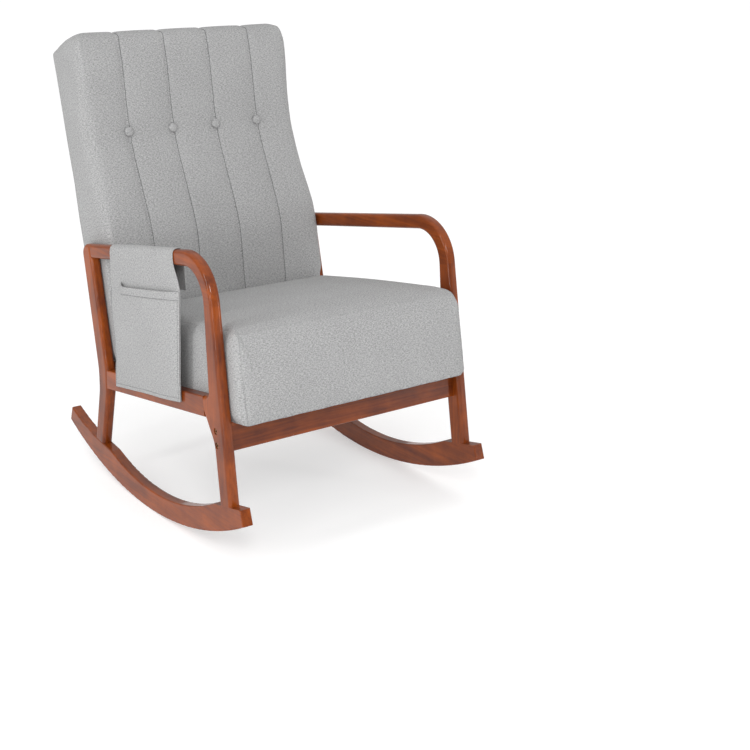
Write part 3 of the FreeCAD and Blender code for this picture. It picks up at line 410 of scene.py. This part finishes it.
def seat_point(points):
    """Points of the flat-lying seat (X, u, w) to the chair's axes."""
    x, u, w = np.asarray(points, float).T
    return np.stack([x, SEAT_FRONT + u * math.cos(TILT) + w * math.sin(TILT),
                     SEAT_FRONT_HEIGHT - u * math.sin(TILT) + w * math.cos(TILT)], 1)


def seat_distance(points):
    """Distance to the seat's cover: crowned top, square front, tight corners, wider low down."""
    x, u, w = points.T
    up = np.clip(w / SEAT_DEPTH, 0, 1)
    half = HALF + SEAT_BULGE - SEAT_WAIST * up + SEAT_FLARE * np.exp(-np.maximum(u, 0) / 25.0)
    level = np.clip(1 - (np.abs(x) / half) ** 2.4, 0, 1)
    run = np.clip(u / SEAT_LENGTH, 0, 1)
    dome = np.clip(np.sin(math.pi * run ** 0.8), 0, 1) ** 0.7
    crown = SEAT_RISE * np.sin(math.pi * run) + SEAT_CROWN * level * dome
    top = w - SEAT_DEPTH - crown
    front = -u - COVER - SEAT_BELLY * np.sin(math.pi * up) * level
    side = np.abs(x) - half
    rear = u - SEAT_LENGTH
    box = meet(front, top, 46.0)
    box = np.maximum(meet(box, side, 15.0), meet(top, side, 26.0))
    return meet(meet(box, rear, 14.0), -w - COVER, 3.0)


def seam_crease(points, marked, axes, centre, depth):
    """Pull marked points in towards the middle, across the two axes, where panels are sewn together."""
    way = centre - points[marked]
    way[:, [k for k in range(3) if k not in axes]] = 0
    points[marked] += np.sign(way) * (np.abs(way) > 0) * depth * math.sqrt(0.5)
    return points


def seat_cushion():
    """Seat cover over its foam, with a sewn seam round each side panel."""
    lines = [spread(-HALF, HALF, 12.0), spread(0, SEAT_LENGTH, 12.0), spread(0, SEAT_DEPTH, 11.0)]
    flat, faces, sides, on_box = box_mesh(lines)
    start = rounded_start(flat, (-HALF, 0, 0), (HALF, SEAT_LENGTH, SEAT_DEPTH), SEAT_START_RADIUS)
    points = settle(start, seat_distance, 22)
    middle = np.array([0.0, SEAT_LENGTH / 2, SEAT_DEPTH / 2])
    top_seam = on_box[:, 0] & (flat[:, 2] == SEAT_DEPTH)
    front_seam = on_box[:, 0] & (flat[:, 1] == 0)
    lower_edge = (on_box[:, 0] | on_box[:, 1]) & (flat[:, 2] == 0)
    points = seam_crease(points, top_seam, (0, 2), middle, TOP_SEAM_DEPTH)
    points = seam_crease(points, front_seam & ~top_seam & ~lower_edge, (0, 1), middle, FRONT_SEAM_DEPTH)
    # small gathers where the cover is stapled under the front edge
    gather = 0.8
    pucker = np.sin(points[:, 0] / 9.0) * np.sin(points[:, 0] / 31.0 + 1.0)
    low_front = np.exp(-((points[:, 2] / 12.0) ** 2)) * (points[:, 1] < 20)
    points[:, 1] -= gather * (pucker + 1) * low_front
    points[:, 2] += gather * (pucker - 1) * low_front
    piece = make_mesh("seat_cushion", seat_point(points), faces, CLOTH, [top_seam, front_seam, lower_edge])
    lay_weave(piece, box_weave(flat, faces, sides, lambda y, z: y - z))
    held = (on_box.sum(1) > 1) | (points[:, 2] < 3.0) | (points[:, 1] > SEAT_LENGTH - 3.0)
    puff(piece, held, pressure=3.0, cap=2.5)
    subdivide(piece)
    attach(piece, "chair")
    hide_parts("seat_cover", "seat_foam")


def dust_cloth():
    """Thin black cloth stapled under the seat, sagging a little between its edges."""
    half, margin, count, sag = 272.0, 12.0, 41, 5.0
    across, along = np.linspace(-half, half, count), np.linspace(margin, SEAT_LENGTH - margin, count)
    x, u = np.meshgrid(across, along, indexing="ij")
    level = np.sin(math.pi * (x + half) / (2 * half))
    level = level * np.sin(math.pi * (u - margin) / (SEAT_LENGTH - 2 * margin))
    edge = np.minimum(u - margin, SEAT_LENGTH - margin - u)
    pull = 0.5 * np.sin(x / 13.0) * np.exp(-edge / 20.0)
    w = -2.9 - sag * np.clip(level, 0, 1) ** 0.6 - pull * np.clip(level * 4, 0, 1)
    grid = seat_point(np.stack([x.ravel(), u.ravel(), w.ravel()], 1)).reshape(count, count, 3)
    piece = cloth_strip("seat_underside_cloth", grid, 0.8, np.stack([x, u], -1), DUST_CLOTH)
    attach(piece, "chair")
    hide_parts("seat_dust_cover")


# --- back cushion ------------------------------------------------------------------
# the back's front face, as (height, Y): nearly upright above the seat, leaning most below the buttons
FRONT_PROFILE = np.array([(282, 521), (380, 533), (430, 540), (480, 547), (528, 553), (572, 560),
                          (616, 577), (677, 607), (740, 639), (790, 661), (812, 667.5), (861, 677),
                          (908, 684.5), (960, 693), (995, 701), (1030, 712), (1075, 728)])
BACK_DEPTH = 130.0       # depth of the flat-lying box the back is made from
BACK_LOW, BACK_HIGH = 282.0, 1045.0      # Z of that box's bottom and top
BACK_START_RADIUS = 16.0     # edge radius of the back's first guess


def front_line(z):
    """Y of the back's front face at a height, smoothed between its key points."""
    offsets = np.linspace(-14, 14, 9)
    weights = np.exp(-(offsets / 8.0) ** 2)
    heights, places = FRONT_PROFILE.T.copy()
    return sum(w * np.interp(z + o, heights, places) for o, w in zip(offsets, weights)) / weights.sum()


def rear_line(z):
    """Y of the back's rear face."""
    return BACK_REAR + math.tan(RECLINE) * (z - BACK_BOTTOM)


CHANNEL_DEPTH, CHANNEL_WIDTH = 7.0, 2.3
DIMPLE_DEPTH, DIMPLE_WIDTH = 6.0, 11.0   # where a button pulls the cover in
PANEL_PUFF = 1.6         # how far a panel's middle swells past its channels


def back_distance(points):
    """Distance to the back's cover: five puffed panels between sewn channels, pulled in at the buttons."""
    x, y, z = points.T
    steep = (front_line(z + 2.0) - front_line(z - 2.0)) / 4.0
    near = np.stack([np.abs(x - s) for s in SEAMS]).min(0)
    pillow = np.sin(np.clip(near / (SEAM_PITCH / 2), 0, 1) * math.pi / 2)
    cut = np.exp(-near / CHANNEL_WIDTH)
    dimple = np.exp(-(near ** 2 + (z - BUTTON_Z) ** 2) / (2 * DIMPLE_WIDTH ** 2))
    front = front_line(z) - y - COVER - PANEL_PUFF * pillow + CHANNEL_DEPTH * cut + DIMPLE_DEPTH * dimple
    front = front / np.sqrt(1 + steep ** 2)
    top = ((z - BACK_TOP_REAR) + TOP_SLOPE * (y - rear_line(BACK_TOP_REAR))) / math.hypot(1, TOP_SLOPE)
    top = top + 2.0 - 0.3 * pillow + 1.8 * cut
    narrow = rise(z, 600, 690)
    # the cover bulges sideways just in front of the arm posts
    post_front = 538 + 0.24 * (z - 311)
    bulge = rise(z, 370, 400) * rise(z, 570, 460) * rise(post_front - 4 - y, 0, 10)
    side = np.abs(x) - HALF - 6.0 + 2.0 * narrow - 8.0 * bulge
    rear = (y - rear_line(z)) * math.cos(RECLINE) - 1.0
    front_edge = 12.0 + 12.0 * narrow - 12.0 * rise(z, 880, 990)
    top_edge = 54.0 - 44.0 * rise(y, 730, 775)
    box = meet(front, top, 44.0)
    box = np.maximum(meet(box, side, front_edge), meet(top, side, top_edge))
    return meet(meet(box, rear, 4.0), BACK_BOTTOM - z, 8.0)


def back_lines():
    """Grid lines across the back, with one on each channel seam and close neighbours."""
    lines = list(spread(-HALF, HALF, 13.0))
    for s in SEAMS:
        lines = [v for v in lines if abs(v - s) > 11]
        lines += [s, s - 1.6, s + 1.6, s - 4.5, s + 4.5, s - 9.5, s + 9.5]
    return np.array(sorted(lines))


def back_start(flat):
    """Points of the upright box moved to the leaning, curved back: first guess for settling."""
    low, high = (-HALF, 0, BACK_LOW), (HALF, BACK_DEPTH, BACK_HIGH)
    x, depth, z = rounded_start(flat, low, high, BACK_START_RADIUS).T
    share = depth / BACK_DEPTH
    drop = rise(z, 930, BACK_HIGH) * share * 58.0
    height = z - drop
    front, rear = front_line(height), rear_line(height)
    return np.stack([x, front + (rear - front) * share, height], 1)


def back_cushion():
    """Back cover over its foam: seams round the side panels, channels up the front and over the top."""
    lines = [back_lines(), spread(0, BACK_DEPTH, 13.0), spread(BACK_LOW, BACK_HIGH, 12.0)]
    flat, faces, sides, on_box = box_mesh(lines)
    points = settle(back_start(flat), back_distance, 24)
    middle = np.array([0.0, 700.0, 700.0])
    front_seam = on_box[:, 0] & (flat[:, 1] == 0)
    top_seam = on_box[:, 0] & (flat[:, 2] == BACK_HIGH)
    behind = np.array([0.0, 900.0, 700.0])
    points = seam_crease(points, top_seam, (0, 2), middle, BACK_SEAM_DEPTH)
    points = seam_crease(points, front_seam & ~top_seam, (0, 1), behind, BACK_SEAM_DEPTH)
    shown = (flat[:, 1] < BACK_DEPTH - 1) & (flat[:, 2] > BACK_LOW)
    shown = shown & ((flat[:, 1] == 0) | (flat[:, 2] == BACK_HIGH))
    channels = [shown & (np.abs(flat[:, 0] - s) < 0.1) for s in SEAMS]
    piece = make_mesh("back_cushion", points, faces, CLOTH, channels + [front_seam, top_seam])
    lay_weave(piece, box_weave(flat, faces, sides, lambda y, z: z + y))
    near = np.stack([np.abs(points[:, 0] - s) for s in SEAMS]).min(0)
    rear_face = points[:, 1] > rear_line(points[:, 2]) - 6.0
    held = (on_box.sum(1) > 1) | (near < 5.0) | rear_face | (points[:, 2] < BACK_BOTTOM + 3)
    puff(piece, held, pressure=3.0, cap=2.5)
    puffed = mesh_points(piece)
    upwards = flat[:, 2] + flat[:, 1]
    paths = [puffed[c][np.argsort(upwards[c])] for c in channels]
    rows = [stitch_row(path, gap=0.6, radius=0.6, lift=0.5) for path in paths]
    subdivide(piece)
    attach(piece, "chair")
    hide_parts("back_cover", "back_foam", "back_rear_panel")
    thread = make_mesh("back_channel_stitching", *join_parts(rows), CHANNEL_THREAD)
    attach(thread, "chair")


def rear_welt():
    """Piping sewn round the edge of the back's rear panel."""
    half, low, high, corner = HALF - 9.0, BACK_BOTTOM + 12.0, BACK_TOP_REAR - 12.0, 16.0
    radius, stand_off, rings = 2.6, 1.2, 8
    centres = [(half - corner, low + corner, -90), (half - corner, high - corner, 0),
               (corner - half, high - corner, 90), (corner - half, low + corner, 180)]
    path = [(x + corner * math.cos(math.radians(a)), z + corner * math.sin(math.radians(a)))
            for x, z, start in centres for a in np.arange(start, start + 91, 15)]
    path, _ = even_path(np.array(path + path[:1]), 6.0)
    x, z = path[:-1].T
    centre = np.stack([x, rear_line(z) + stand_off, z], 1)
    way = np.roll(centre, -1, 0) - np.roll(centre, 1, 0)
    way /= np.linalg.norm(way, axis=1)[:, None]
    out = np.array([0.0, math.cos(RECLINE), -math.sin(RECLINE)])
    side = np.cross(way, out)
    n = len(centre)
    turn = np.arange(rings) * 2 * math.pi / rings
    points = [c + radius * (math.cos(t) * out + math.sin(t) * s) for c, s in zip(centre, side) for t in turn]
    faces = [(i * rings + k, i * rings + (k + 1) % rings, (i + 1) % n * rings + (k + 1) % rings,
              (i + 1) % n * rings + k) for i in range(n) for k in range(rings)]
    piece = make_mesh("back_rear_welt", np.array(points), faces, CLOTH)
    lay_weave(piece, [(points[v][0], points[v][2]) for f in faces for v in f])
    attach(piece, "chair")


def revolve(profile, rings, centre, axis):
    """Round shape from a (radius, height) profile turned about an axis, closed at both ends."""
    axis = np.array(axis, float) / np.linalg.norm(axis)
    one = np.cross(axis, (1.0, 0, 0))
    one /= np.linalg.norm(one)
    two = np.cross(axis, one)
    points, faces = [], []
    for radius, height in profile:
        for k in range(rings):
            a = 2 * math.pi * k / rings
            out = one * math.cos(a) + two * math.sin(a)
            points.append(np.array(centre) + axis * height + out * radius)
    for i in range(len(profile) - 1):
        for k in range(rings):
            a, b = i * rings + k, i * rings + (k + 1) % rings
            faces.append((a, b, b + rings, a + rings))
    faces.append(tuple(range((len(profile) - 1) * rings, len(profile) * rings)))
    faces.append(tuple(reversed(range(rings))))
    return points, faces


def join_parts(parts):
    """Several (points, faces) as one."""
    points, faces = [], []
    for part_points, part_faces in parts:
        base = len(points)
        points += [tuple(p) for p in part_points]
        faces += [tuple(v + base for v in f) for f in part_faces]
    return np.array(points), faces


BUTTON_WAY = np.array([0.0, -0.952, 0.305])      # the way the buttons face
BUTTON_STAND_OFF = 4.4   # the button's middle in front of the channel line


def back_buttons():
    """Four cloth-covered buttons, each a low dome with a rolled rim."""
    profile = [(3.0, -9.0), (8.0, -7.5), (10.6, -4.0), (BUTTON_RADIUS, -1.2), (11.2, 0.6), (9.8, 1.9),
               (7.4, 2.8), (4.4, 3.3), (1.6, 3.5)]
    centres = [np.array([s, BUTTON_Y, BUTTON_Z]) + BUTTON_WAY * BUTTON_STAND_OFF for s in SEAMS]
    parts = [revolve(profile, 28, centre, BUTTON_WAY) for centre in centres]
    points, faces = join_parts(parts)
    piece = make_mesh("back_cloth_buttons", points, faces, CLOTH)
    lay_weave(piece, [(points[v][0], points[v][2]) for f in faces for v in f])
    subdivide(piece)
    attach(piece, "chair")
    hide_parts("back_buttons")


# --- stitching ---------------------------------------------------------------------
def stitch_row(path, length=3.4, gap=1.3, radius=0.42, lift=0.0):
    """Short thread stitches along a line of points: (points, faces)."""
    path = np.asarray(path, float)
    reach = np.concatenate([[0], np.cumsum(np.linalg.norm(np.diff(path, axis=0), axis=1))])
    parts = []
    for begin in np.arange(0, reach[-1] - length, length + gap):
        stops = begin + np.array([0.0, 0.25, 0.75, 1.0]) * length
        middle = np.stack([np.interp(stops, reach, path[:, k]) for k in range(3)], 1)
        way = middle[-1] - middle[0]
        way /= np.linalg.norm(way)
        side = np.cross(way, (0.0, 0.3, 1.0) if abs(way[0]) > 0.8 else (1.0, 0.0, 0.0))
        side /= np.linalg.norm(side)
        other = np.cross(way, side)
        middle = middle + lift * np.array([0.0, -0.9, 0.4])
        sizes = radius * np.array([0.5, 1.0, 1.0, 0.5])
        points = [m + (side * math.cos(a) + other * math.sin(a)) * r
                  for m, r in zip(middle, sizes) for a in np.arange(5) * 2 * math.pi / 5]
        faces = [(i * 5 + k, i * 5 + (k + 1) % 5, (i + 1) * 5 + (k + 1) % 5, (i + 1) * 5 + k)
                 for i in range(3) for k in range(5)]
        parts.append((points, faces + [tuple(range(15, 20)), (4, 3, 2, 1, 0)]))
    return join_parts(parts)


# --- side pocket -------------------------------------------------------------------
def arm_under(y):
    """Height of the armrest's underside line."""
    return ARM_TOP - ARM_SLOPE * y - ARM_DEPTH


def eased(value, marks, sizes, reach=10.0):
    """Value between marked sizes, with the corners smoothed over a reach."""
    offsets = np.linspace(-1.5, 1.5, 7) * reach
    weights = np.exp(-(offsets / reach) ** 2)
    return sum(w * np.interp(value + o, marks, sizes) for o, w in zip(offsets, weights)) / weights.sum()


def pocket_front(drop):
    """Y of the pocket's front edge on the outside of the arm."""
    return eased(drop, (-40, 0, 25, 56, 120, 180, 298), (196, 190, 178, 168, 165, 164, 168))


def pocket_rear(drop):
    """Y of the pocket's rear edge on the outside of the arm."""
    return eased(drop, (-40, 0, 40, 80, 117, 182, 233, 250, 298),
                 (492, 489, 485, 479, 477, 465, 464, 469, 474))


def pocket_place(x, share, drop):
    """Point on the outside of the pocket: share of the way from front to rear edge, drop below the arm."""
    y = pocket_front(drop) + (pocket_rear(drop) - pocket_front(drop)) * share
    curl = 7.0 * np.exp(-share / 0.10) * eased(drop, (0, 56, 180, 298), (0, 1, 0.7, 0.2))
    return np.stack([x + curl, y, arm_under(y) - drop], -1)


# cross-section of the cloth over the arm, as (x, drop), from the outer hem to the inner one
SADDLE = np.array([(-324.5, 297), (-325.5, 280), (-327, 240), (-328, 190), (-328, 140), (-327, 90),
                   (-325, 50), (-323, 20), (-322.2, 0), (-322, -20), (-320.8, -29), (-317.6, -34.6),
                   (-312, -36.2), (-303, -36.2), (-297.6, -34.6), (-293.6, -29), (-292.8, -18),
                   (-292.4, 0), (-291.8, 25), (-291.8, 45), (-291.6, 58.0)])
OUTER_POINTS = 9         # this many of its points lie on the outside of the arm
FRONT_SHARES = [0.0, 0.006, 0.02]        # grid lines crowd towards the pouch's front edge


def even_path(path, step):
    """The same line with evenly spaced points."""
    reach = np.concatenate([[0], np.cumsum(np.linalg.norm(np.diff(path, axis=0), axis=1))])
    stops = np.linspace(0, reach[-1], max(2, round(reach[-1] / step)))
    return np.stack([np.interp(stops, reach, path[:, k]) for k in range(path.shape[1])], 1), stops


def cloth_strip(name, grid, thickness, weave, material=None):
    """Sheet of cloth through a grid of points, given its thickness."""
    rows, columns = grid.shape[:2]
    faces = [(i * columns + j, (i + 1) * columns + j, (i + 1) * columns + j + 1, i * columns + j + 1)
             for i in range(rows - 1) for j in range(columns - 1)]
    piece = make_mesh(name, grid.reshape(-1, 3), faces, material or CLOTH)
    lay_weave(piece, [weave.reshape(-1, 2)[v] for f in faces for v in f])
    solid = piece.modifiers.new("thickness", "SOLIDIFY")
    solid.thickness = thickness / 1000
    solid.offset = 0.0
    with bpy.context.temp_override(object=piece, active_object=piece, selected_objects=[piece]):
        bpy.ops.object.modifier_apply(modifier=solid.name)
    subdivide(piece)
    return piece


def pocket_sag(share, drop):
    """Outward swell of the hanging cloth: soft folds that grow towards the hem."""
    low = np.clip(drop / POCKET_DROP, 0, 1)
    run = share * POCKET_LENGTH
    return low * (2.0 * np.sin(run / 47.0 + 0.6) + 0.9 * np.sin(run / 21.0 + drop / 70.0))


def pocket_panel():
    """Cloth folded over the armrest: long outside, short on the seat side."""
    path, reach = even_path(SADDLE, 6.0)
    ends = np.array([0, 2.0, 5.0]) / POCKET_LENGTH
    shares = np.concatenate([ends, np.linspace(0.04, 0.96, 40), 1 - ends[::-1]])
    share, k = np.meshgrid(shares, np.arange(len(path)), indexing="ij")
    x, drop = path[k, 0], path[k, 1]
    inside = np.clip((x + 318) / 12, 0, 1)
    lift = np.where((inside == 0) & (drop > 0), pocket_sag(share, drop) * 0.5, 0)
    beyond_mouth = np.clip((share - MOUTH_SHARE) * 25, 0, 1)
    lift = lift + 1.4 * beyond_mouth * np.clip((60 - drop) / 30, 0, 1) * (1 - inside)
    outer = pocket_place(x - lift, share, drop)
    y = POCKET_FRONT + share * POCKET_LENGTH - POCKET_LEAN * np.maximum(drop, 0)
    inner = np.stack([x, y, arm_under(y) - drop], -1)
    grid = outer + (inner - outer) * inside[..., None]
    piece = cloth_strip("pocket_cloth_panel", grid, 1.8, np.stack([share * POCKET_LENGTH, reach[k]], -1))
    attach(piece, "side_pocket")
    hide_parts("pocket_panel")
    return piece


def pouch_x(share, drop):
    """X of the pouch's cloth: close to the panel at its edges and hem, standing off at the mouth."""
    low = np.clip((drop - POUCH_TOP) / (POCKET_DROP - POUCH_TOP), 0, 1)
    across = np.clip(np.sin(math.pi * np.clip(share, 0, 1)), 0, 1) ** 0.45
    swell = 5.0 * across * np.clip(1 - low ** 5, 0, 1)
    mouth = np.exp(-(np.maximum(drop - POUCH_TOP, 0) / 16.0) ** 2)
    open_part = np.clip((MOUTH_SHARE + 0.01 - share) / 0.05, 0, 1) * np.clip(share / 0.10, 0, 1)
    outer = SADDLE[:OUTER_POINTS][::-1]
    x = np.interp(drop, outer[:, 1], outer[:, 0])
    swell = swell * (1 - mouth * (1 - open_part)) + 1.6 * mouth * open_part
    return x - 1.9 - swell - pocket_sag(share, drop) * 0.8


def pouch_top(share):
    """Drop of the pouch's upper edge: it lifts a little at the rear end of the mouth."""
    return POUCH_TOP - 9.0 * np.exp(-((share - MOUTH_SHARE) / 0.035) ** 2)


def pocket_pouch():
    """Pouch sewn on the panel: closed at both edges and the hem, open along its mouth."""
    mouth_end = [0.775, 0.79, 0.80, 0.81, 0.82, 0.83, 0.84, 0.85, 0.862, 0.88]
    rear_edge = [0.91, 0.94, 0.97, 0.99, 1.0]
    shares = np.concatenate([FRONT_SHARES, np.linspace(0.045, 0.76, 34), mouth_end, rear_edge])
    parts = np.concatenate([[0, 0.008, 0.02, 0.045], np.linspace(0.08, 0.97, 30), [0.99, 1.0]])
    share, part = np.meshgrid(shares, parts, indexing="ij")
    top = pouch_top(share)
    drop = top + (POCKET_DROP - top) * part
    x = pouch_x(share, drop)
    sewn = np.clip((share - MOUTH_SHARE - 0.005) / 0.02, 0, 1) * np.clip((0.06 - part) / 0.06, 0, 1)
    grid = pocket_place(x + 3.2 * sewn, share, drop)
    piece = cloth_strip("pocket_cloth_pouch", grid, 1.8, np.stack([share * POCKET_LENGTH, drop], -1))
    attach(piece, "side_pocket")
    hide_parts("pocket_pouch")
    return piece


def pocket_hem():
    """Folded band sewn outside the pouch's mouth, as long as the mouth."""
    shares = np.concatenate([FRONT_SHARES, np.linspace(0.045, 0.79, 36), [0.80, 0.81, 0.82, MOUTH_SHARE]])
    share, part = np.meshgrid(shares, np.array([-0.03, 0.03, 0.2, 0.45, 0.7, 0.93, 1.0]), indexing="ij")
    top = pouch_top(share)
    drop = top + (POUCH_TOP + 19.0 - top) * part
    x = pouch_x(share, drop) - 1.1
    piece = cloth_strip("pocket_mouth_hem", pocket_place(x, share, drop), 1.2,
                        np.stack([share * POCKET_LENGTH, drop], -1))
    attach(piece, "side_pocket")
    return piece


def pocket_stitches():
    """Stitch rows of the pocket: under the mouth, above the lower hem and along both edges."""
    def line(share, drop, out):
        share, drop = np.broadcast_arrays(np.asarray(share, float), np.asarray(drop, float))
        return pocket_place(pouch_x(share, drop) - out, share, drop)

    across, down = np.linspace(0.01, 0.99, 60), np.linspace(POUCH_TOP + 6, POCKET_DROP - 6, 50)
    parts = [stitch_row(line(across * MOUTH_SHARE, POUCH_TOP + 17.0, 2.2)),
             stitch_row(line(across, POCKET_DROP - 9.0, 1.1)),
             stitch_row(line(0.014, down, 1.1)),
             stitch_row(line(0.982, down, 1.1))]
    piece = make_mesh("pocket_stitching", *join_parts(parts), THREAD)
    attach(piece, "side_pocket")
    return piece


def grip_strip():
    """Hook-and-loop tape on the seat side of the short flap."""
    share, drop = np.meshgrid(np.linspace(0.02, 0.98, 60), np.linspace(35.0, 54.0, 7), indexing="ij")
    y = POCKET_FRONT + share * POCKET_LENGTH - POCKET_LEAN * drop
    x = -290.3 + 0.15 * np.sin(share * 90) + 0.1 * np.sin(drop)
    grid = np.stack([x + 0 * y, y, arm_under(y) - drop], -1)
    weave = np.stack([share * POCKET_LENGTH, drop], -1)
    piece = cloth_strip("pocket_flap_tape", grid, 1.3, weave, LOOP_TAPE)
    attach(piece, "side_pocket")
    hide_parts("pocket_grip_strip")


# --- CAD nodes that stay -----------------------------------------------------------
def paint(names, material):
    """Make a material the only one of some CAD nodes."""
    for name in names:
        mesh = NODES[name].data
        mesh.materials.clear()
        mesh.materials.append(material)


def paint_nodes():
    """Give every CAD node that stays its material."""
    sides = ("left_", "right_")
    paint([s + n for s in sides for n in ("armrest", "side_rail", "rocker")], WOOD[1])
    paint([s + n for s in sides for n in ("front_leg", "rear_leg")], WOOD[2])
    paint(["front_rail", "rear_rail"], WOOD[0])
    bare = [n for n in NODES if n.startswith(("seat_frame", "back_frame")) or n.endswith("dowels")]
    paint(bare + ["seat_corner_blocks"], raw_wood())
    bronze = speckled("bronzed_steel", rgb(120, 84, 60), rgb(168, 128, 100), 700.0, 0.38, 0.0001, 1.0)
    paint(["front_rail_bolts", "front_rail_barrel_nuts"], bronze)
    zinc = speckled("zinc_steel", rgb(120, 122, 124), rgb(160, 162, 165), 900.0, 0.36, 0.0001, 1.0)
    paint(["seat_springs", "seat_spring_clips"], zinc)
    dark = speckled("black_steel", rgb(24, 24, 25), rgb(44, 44, 46), 700.0, 0.4, 0.0001, 1.0)
    paint(["seat_bolts", "back_bolts"], dark)
    black = speckled("black_plastic", rgb(22, 22, 23), rgb(34, 34, 35), 600.0, 0.5, 0.0001)
    paint(["seat_spacers", "back_spacers"], black)
    felt = speckled("felt", rgb(84, 84, 88), rgb(126, 124, 122), 300.0, 0.95, 0.0006)
    paint(["seat_insulator_pad"], felt)
    webbing = stripe_cloth("webbing", rgb(30, 30, 32), rgb(70, 70, 72), 0.0030, 2)
    paint(["back_webbing", "back_button_cords"], webbing)


# --- stage, light, camera ----------------------------------------------------------
def floor():
    """Plain white floor that glows a little, so the shadows on it stay faint."""
    size = 60.0
    corners = [(-size, -size, 0), (size, -size, 0), (size, size, 0), (-size, size, 0)]
    mesh = bpy.data.meshes.new("floor")
    mesh.from_pydata(corners, [], [(0, 1, 2, 3)])
    m = Nodes("floor_white")
    place = m.add("ShaderNodeTexCoord").outputs["Object"]
    tone = m.blend(m.noise(place, 3.0, 2.0), (0.60, 0.60, 0.60, 1), (0.62, 0.62, 0.62, 1))
    mesh.materials.append(m.finish(Base_Color=tone, Roughness=0.9, Specular_IOR_Level=0.1,
                                   Emission_Color=(1.0, 1.0, 1.0, 1.0), Emission_Strength=0.45))
    plane = bpy.data.objects.new("floor", mesh)
    bpy.context.scene.collection.objects.link(plane)


def softbox(name, place, target, width, height, power):
    """Rectangular light that faces a point and is not seen itself; metres and watts."""
    data = bpy.data.lights.new(name, "AREA")
    data.shape = "RECTANGLE"
    data.size, data.size_y, data.energy = width, height, power
    lamp = bpy.data.objects.new(name, data)
    lamp.location = place
    lamp.rotation_euler = (Vector(target) - Vector(place)).to_track_quat("-Z", "Y").to_euler()
    lamp.visible_camera = False
    bpy.context.scene.collection.objects.link(lamp)


def lights():
    """Soft studio light: sky brighter overhead than at the horizon, a key, and four narrow strips.

    The strips are there for their highlights on the lacquer's rounded edges.
    """
    world = bpy.data.worlds.new("studio")
    world.use_nodes = True
    tree = world.node_tree
    place = tree.nodes.new("ShaderNodeTexCoord")
    split = tree.nodes.new("ShaderNodeSeparateXYZ")
    level = tree.nodes.new("ShaderNodeMapRange")
    tree.links.new(place.outputs["Generated"], split.inputs[0])
    tree.links.new(split.outputs[2], level.inputs["Value"])
    for key, value in (("From Min", 0.0), ("From Max", 1.0), ("To Min", 0.32), ("To Max", 1.26)):
        level.inputs[key].default_value = value
    tree.links.new(level.outputs["Result"], tree.nodes["Background"].inputs[1])
    tree.nodes["Background"].inputs[0].default_value = (1.0, 1.0, 1.0, 1.0)
    bpy.context.scene.world = world
    middle = (0.0, 0.0, 0.5)
    softbox("key", (-1.7, -2.9, 2.3), middle, 0.7, 0.9, 42.0)
    softbox("left_strip", (-2.8, -0.3, 1.3), middle, 0.16, 2.0, 24.0)
    softbox("low_strip", (-3.0, -2.0, 0.9), middle, 0.08, 1.6, 11.0)
    softbox("edge_strip", (-1.6, -1.3, 0.52), middle, 0.04, 0.98, 1.9)
    softbox("right_strip", (1.9, -2.7, 1.1), middle, 0.12, 2.0, 17.0)


def camera():
    """Camera at the product view: front left of the chair, a little above it."""
    azimuth, elevation = math.radians(-35.11), math.radians(12.134)
    back = Vector((math.sin(azimuth) * math.cos(elevation), -math.cos(azimuth) * math.cos(elevation),
                   math.sin(elevation)))
    data = bpy.data.cameras.new("camera")
    data.lens, data.sensor_width = 66.59, 36.0
    data.shift_x, data.shift_y = 0.0430, -0.2121
    eye = bpy.data.objects.new("camera", data)
    eye.location = row((-1649.9, -2314.7, 1310.2)).tolist()
    eye.rotation_euler = back.to_track_quat("Z", "Y").to_euler()
    bpy.context.scene.collection.objects.link(eye)
    bpy.context.scene.camera = eye


camera()
lights()
floor()
bpy.context.scene.view_settings.view_transform = "Standard"
paint_nodes()
seat_cushion()
dust_cloth()
back_cushion()
rear_welt()
back_buttons()
panel, pouch, hem = pocket_panel(), pocket_pouch(), pocket_hem()
grip_strip()
stitches = pocket_stitches()
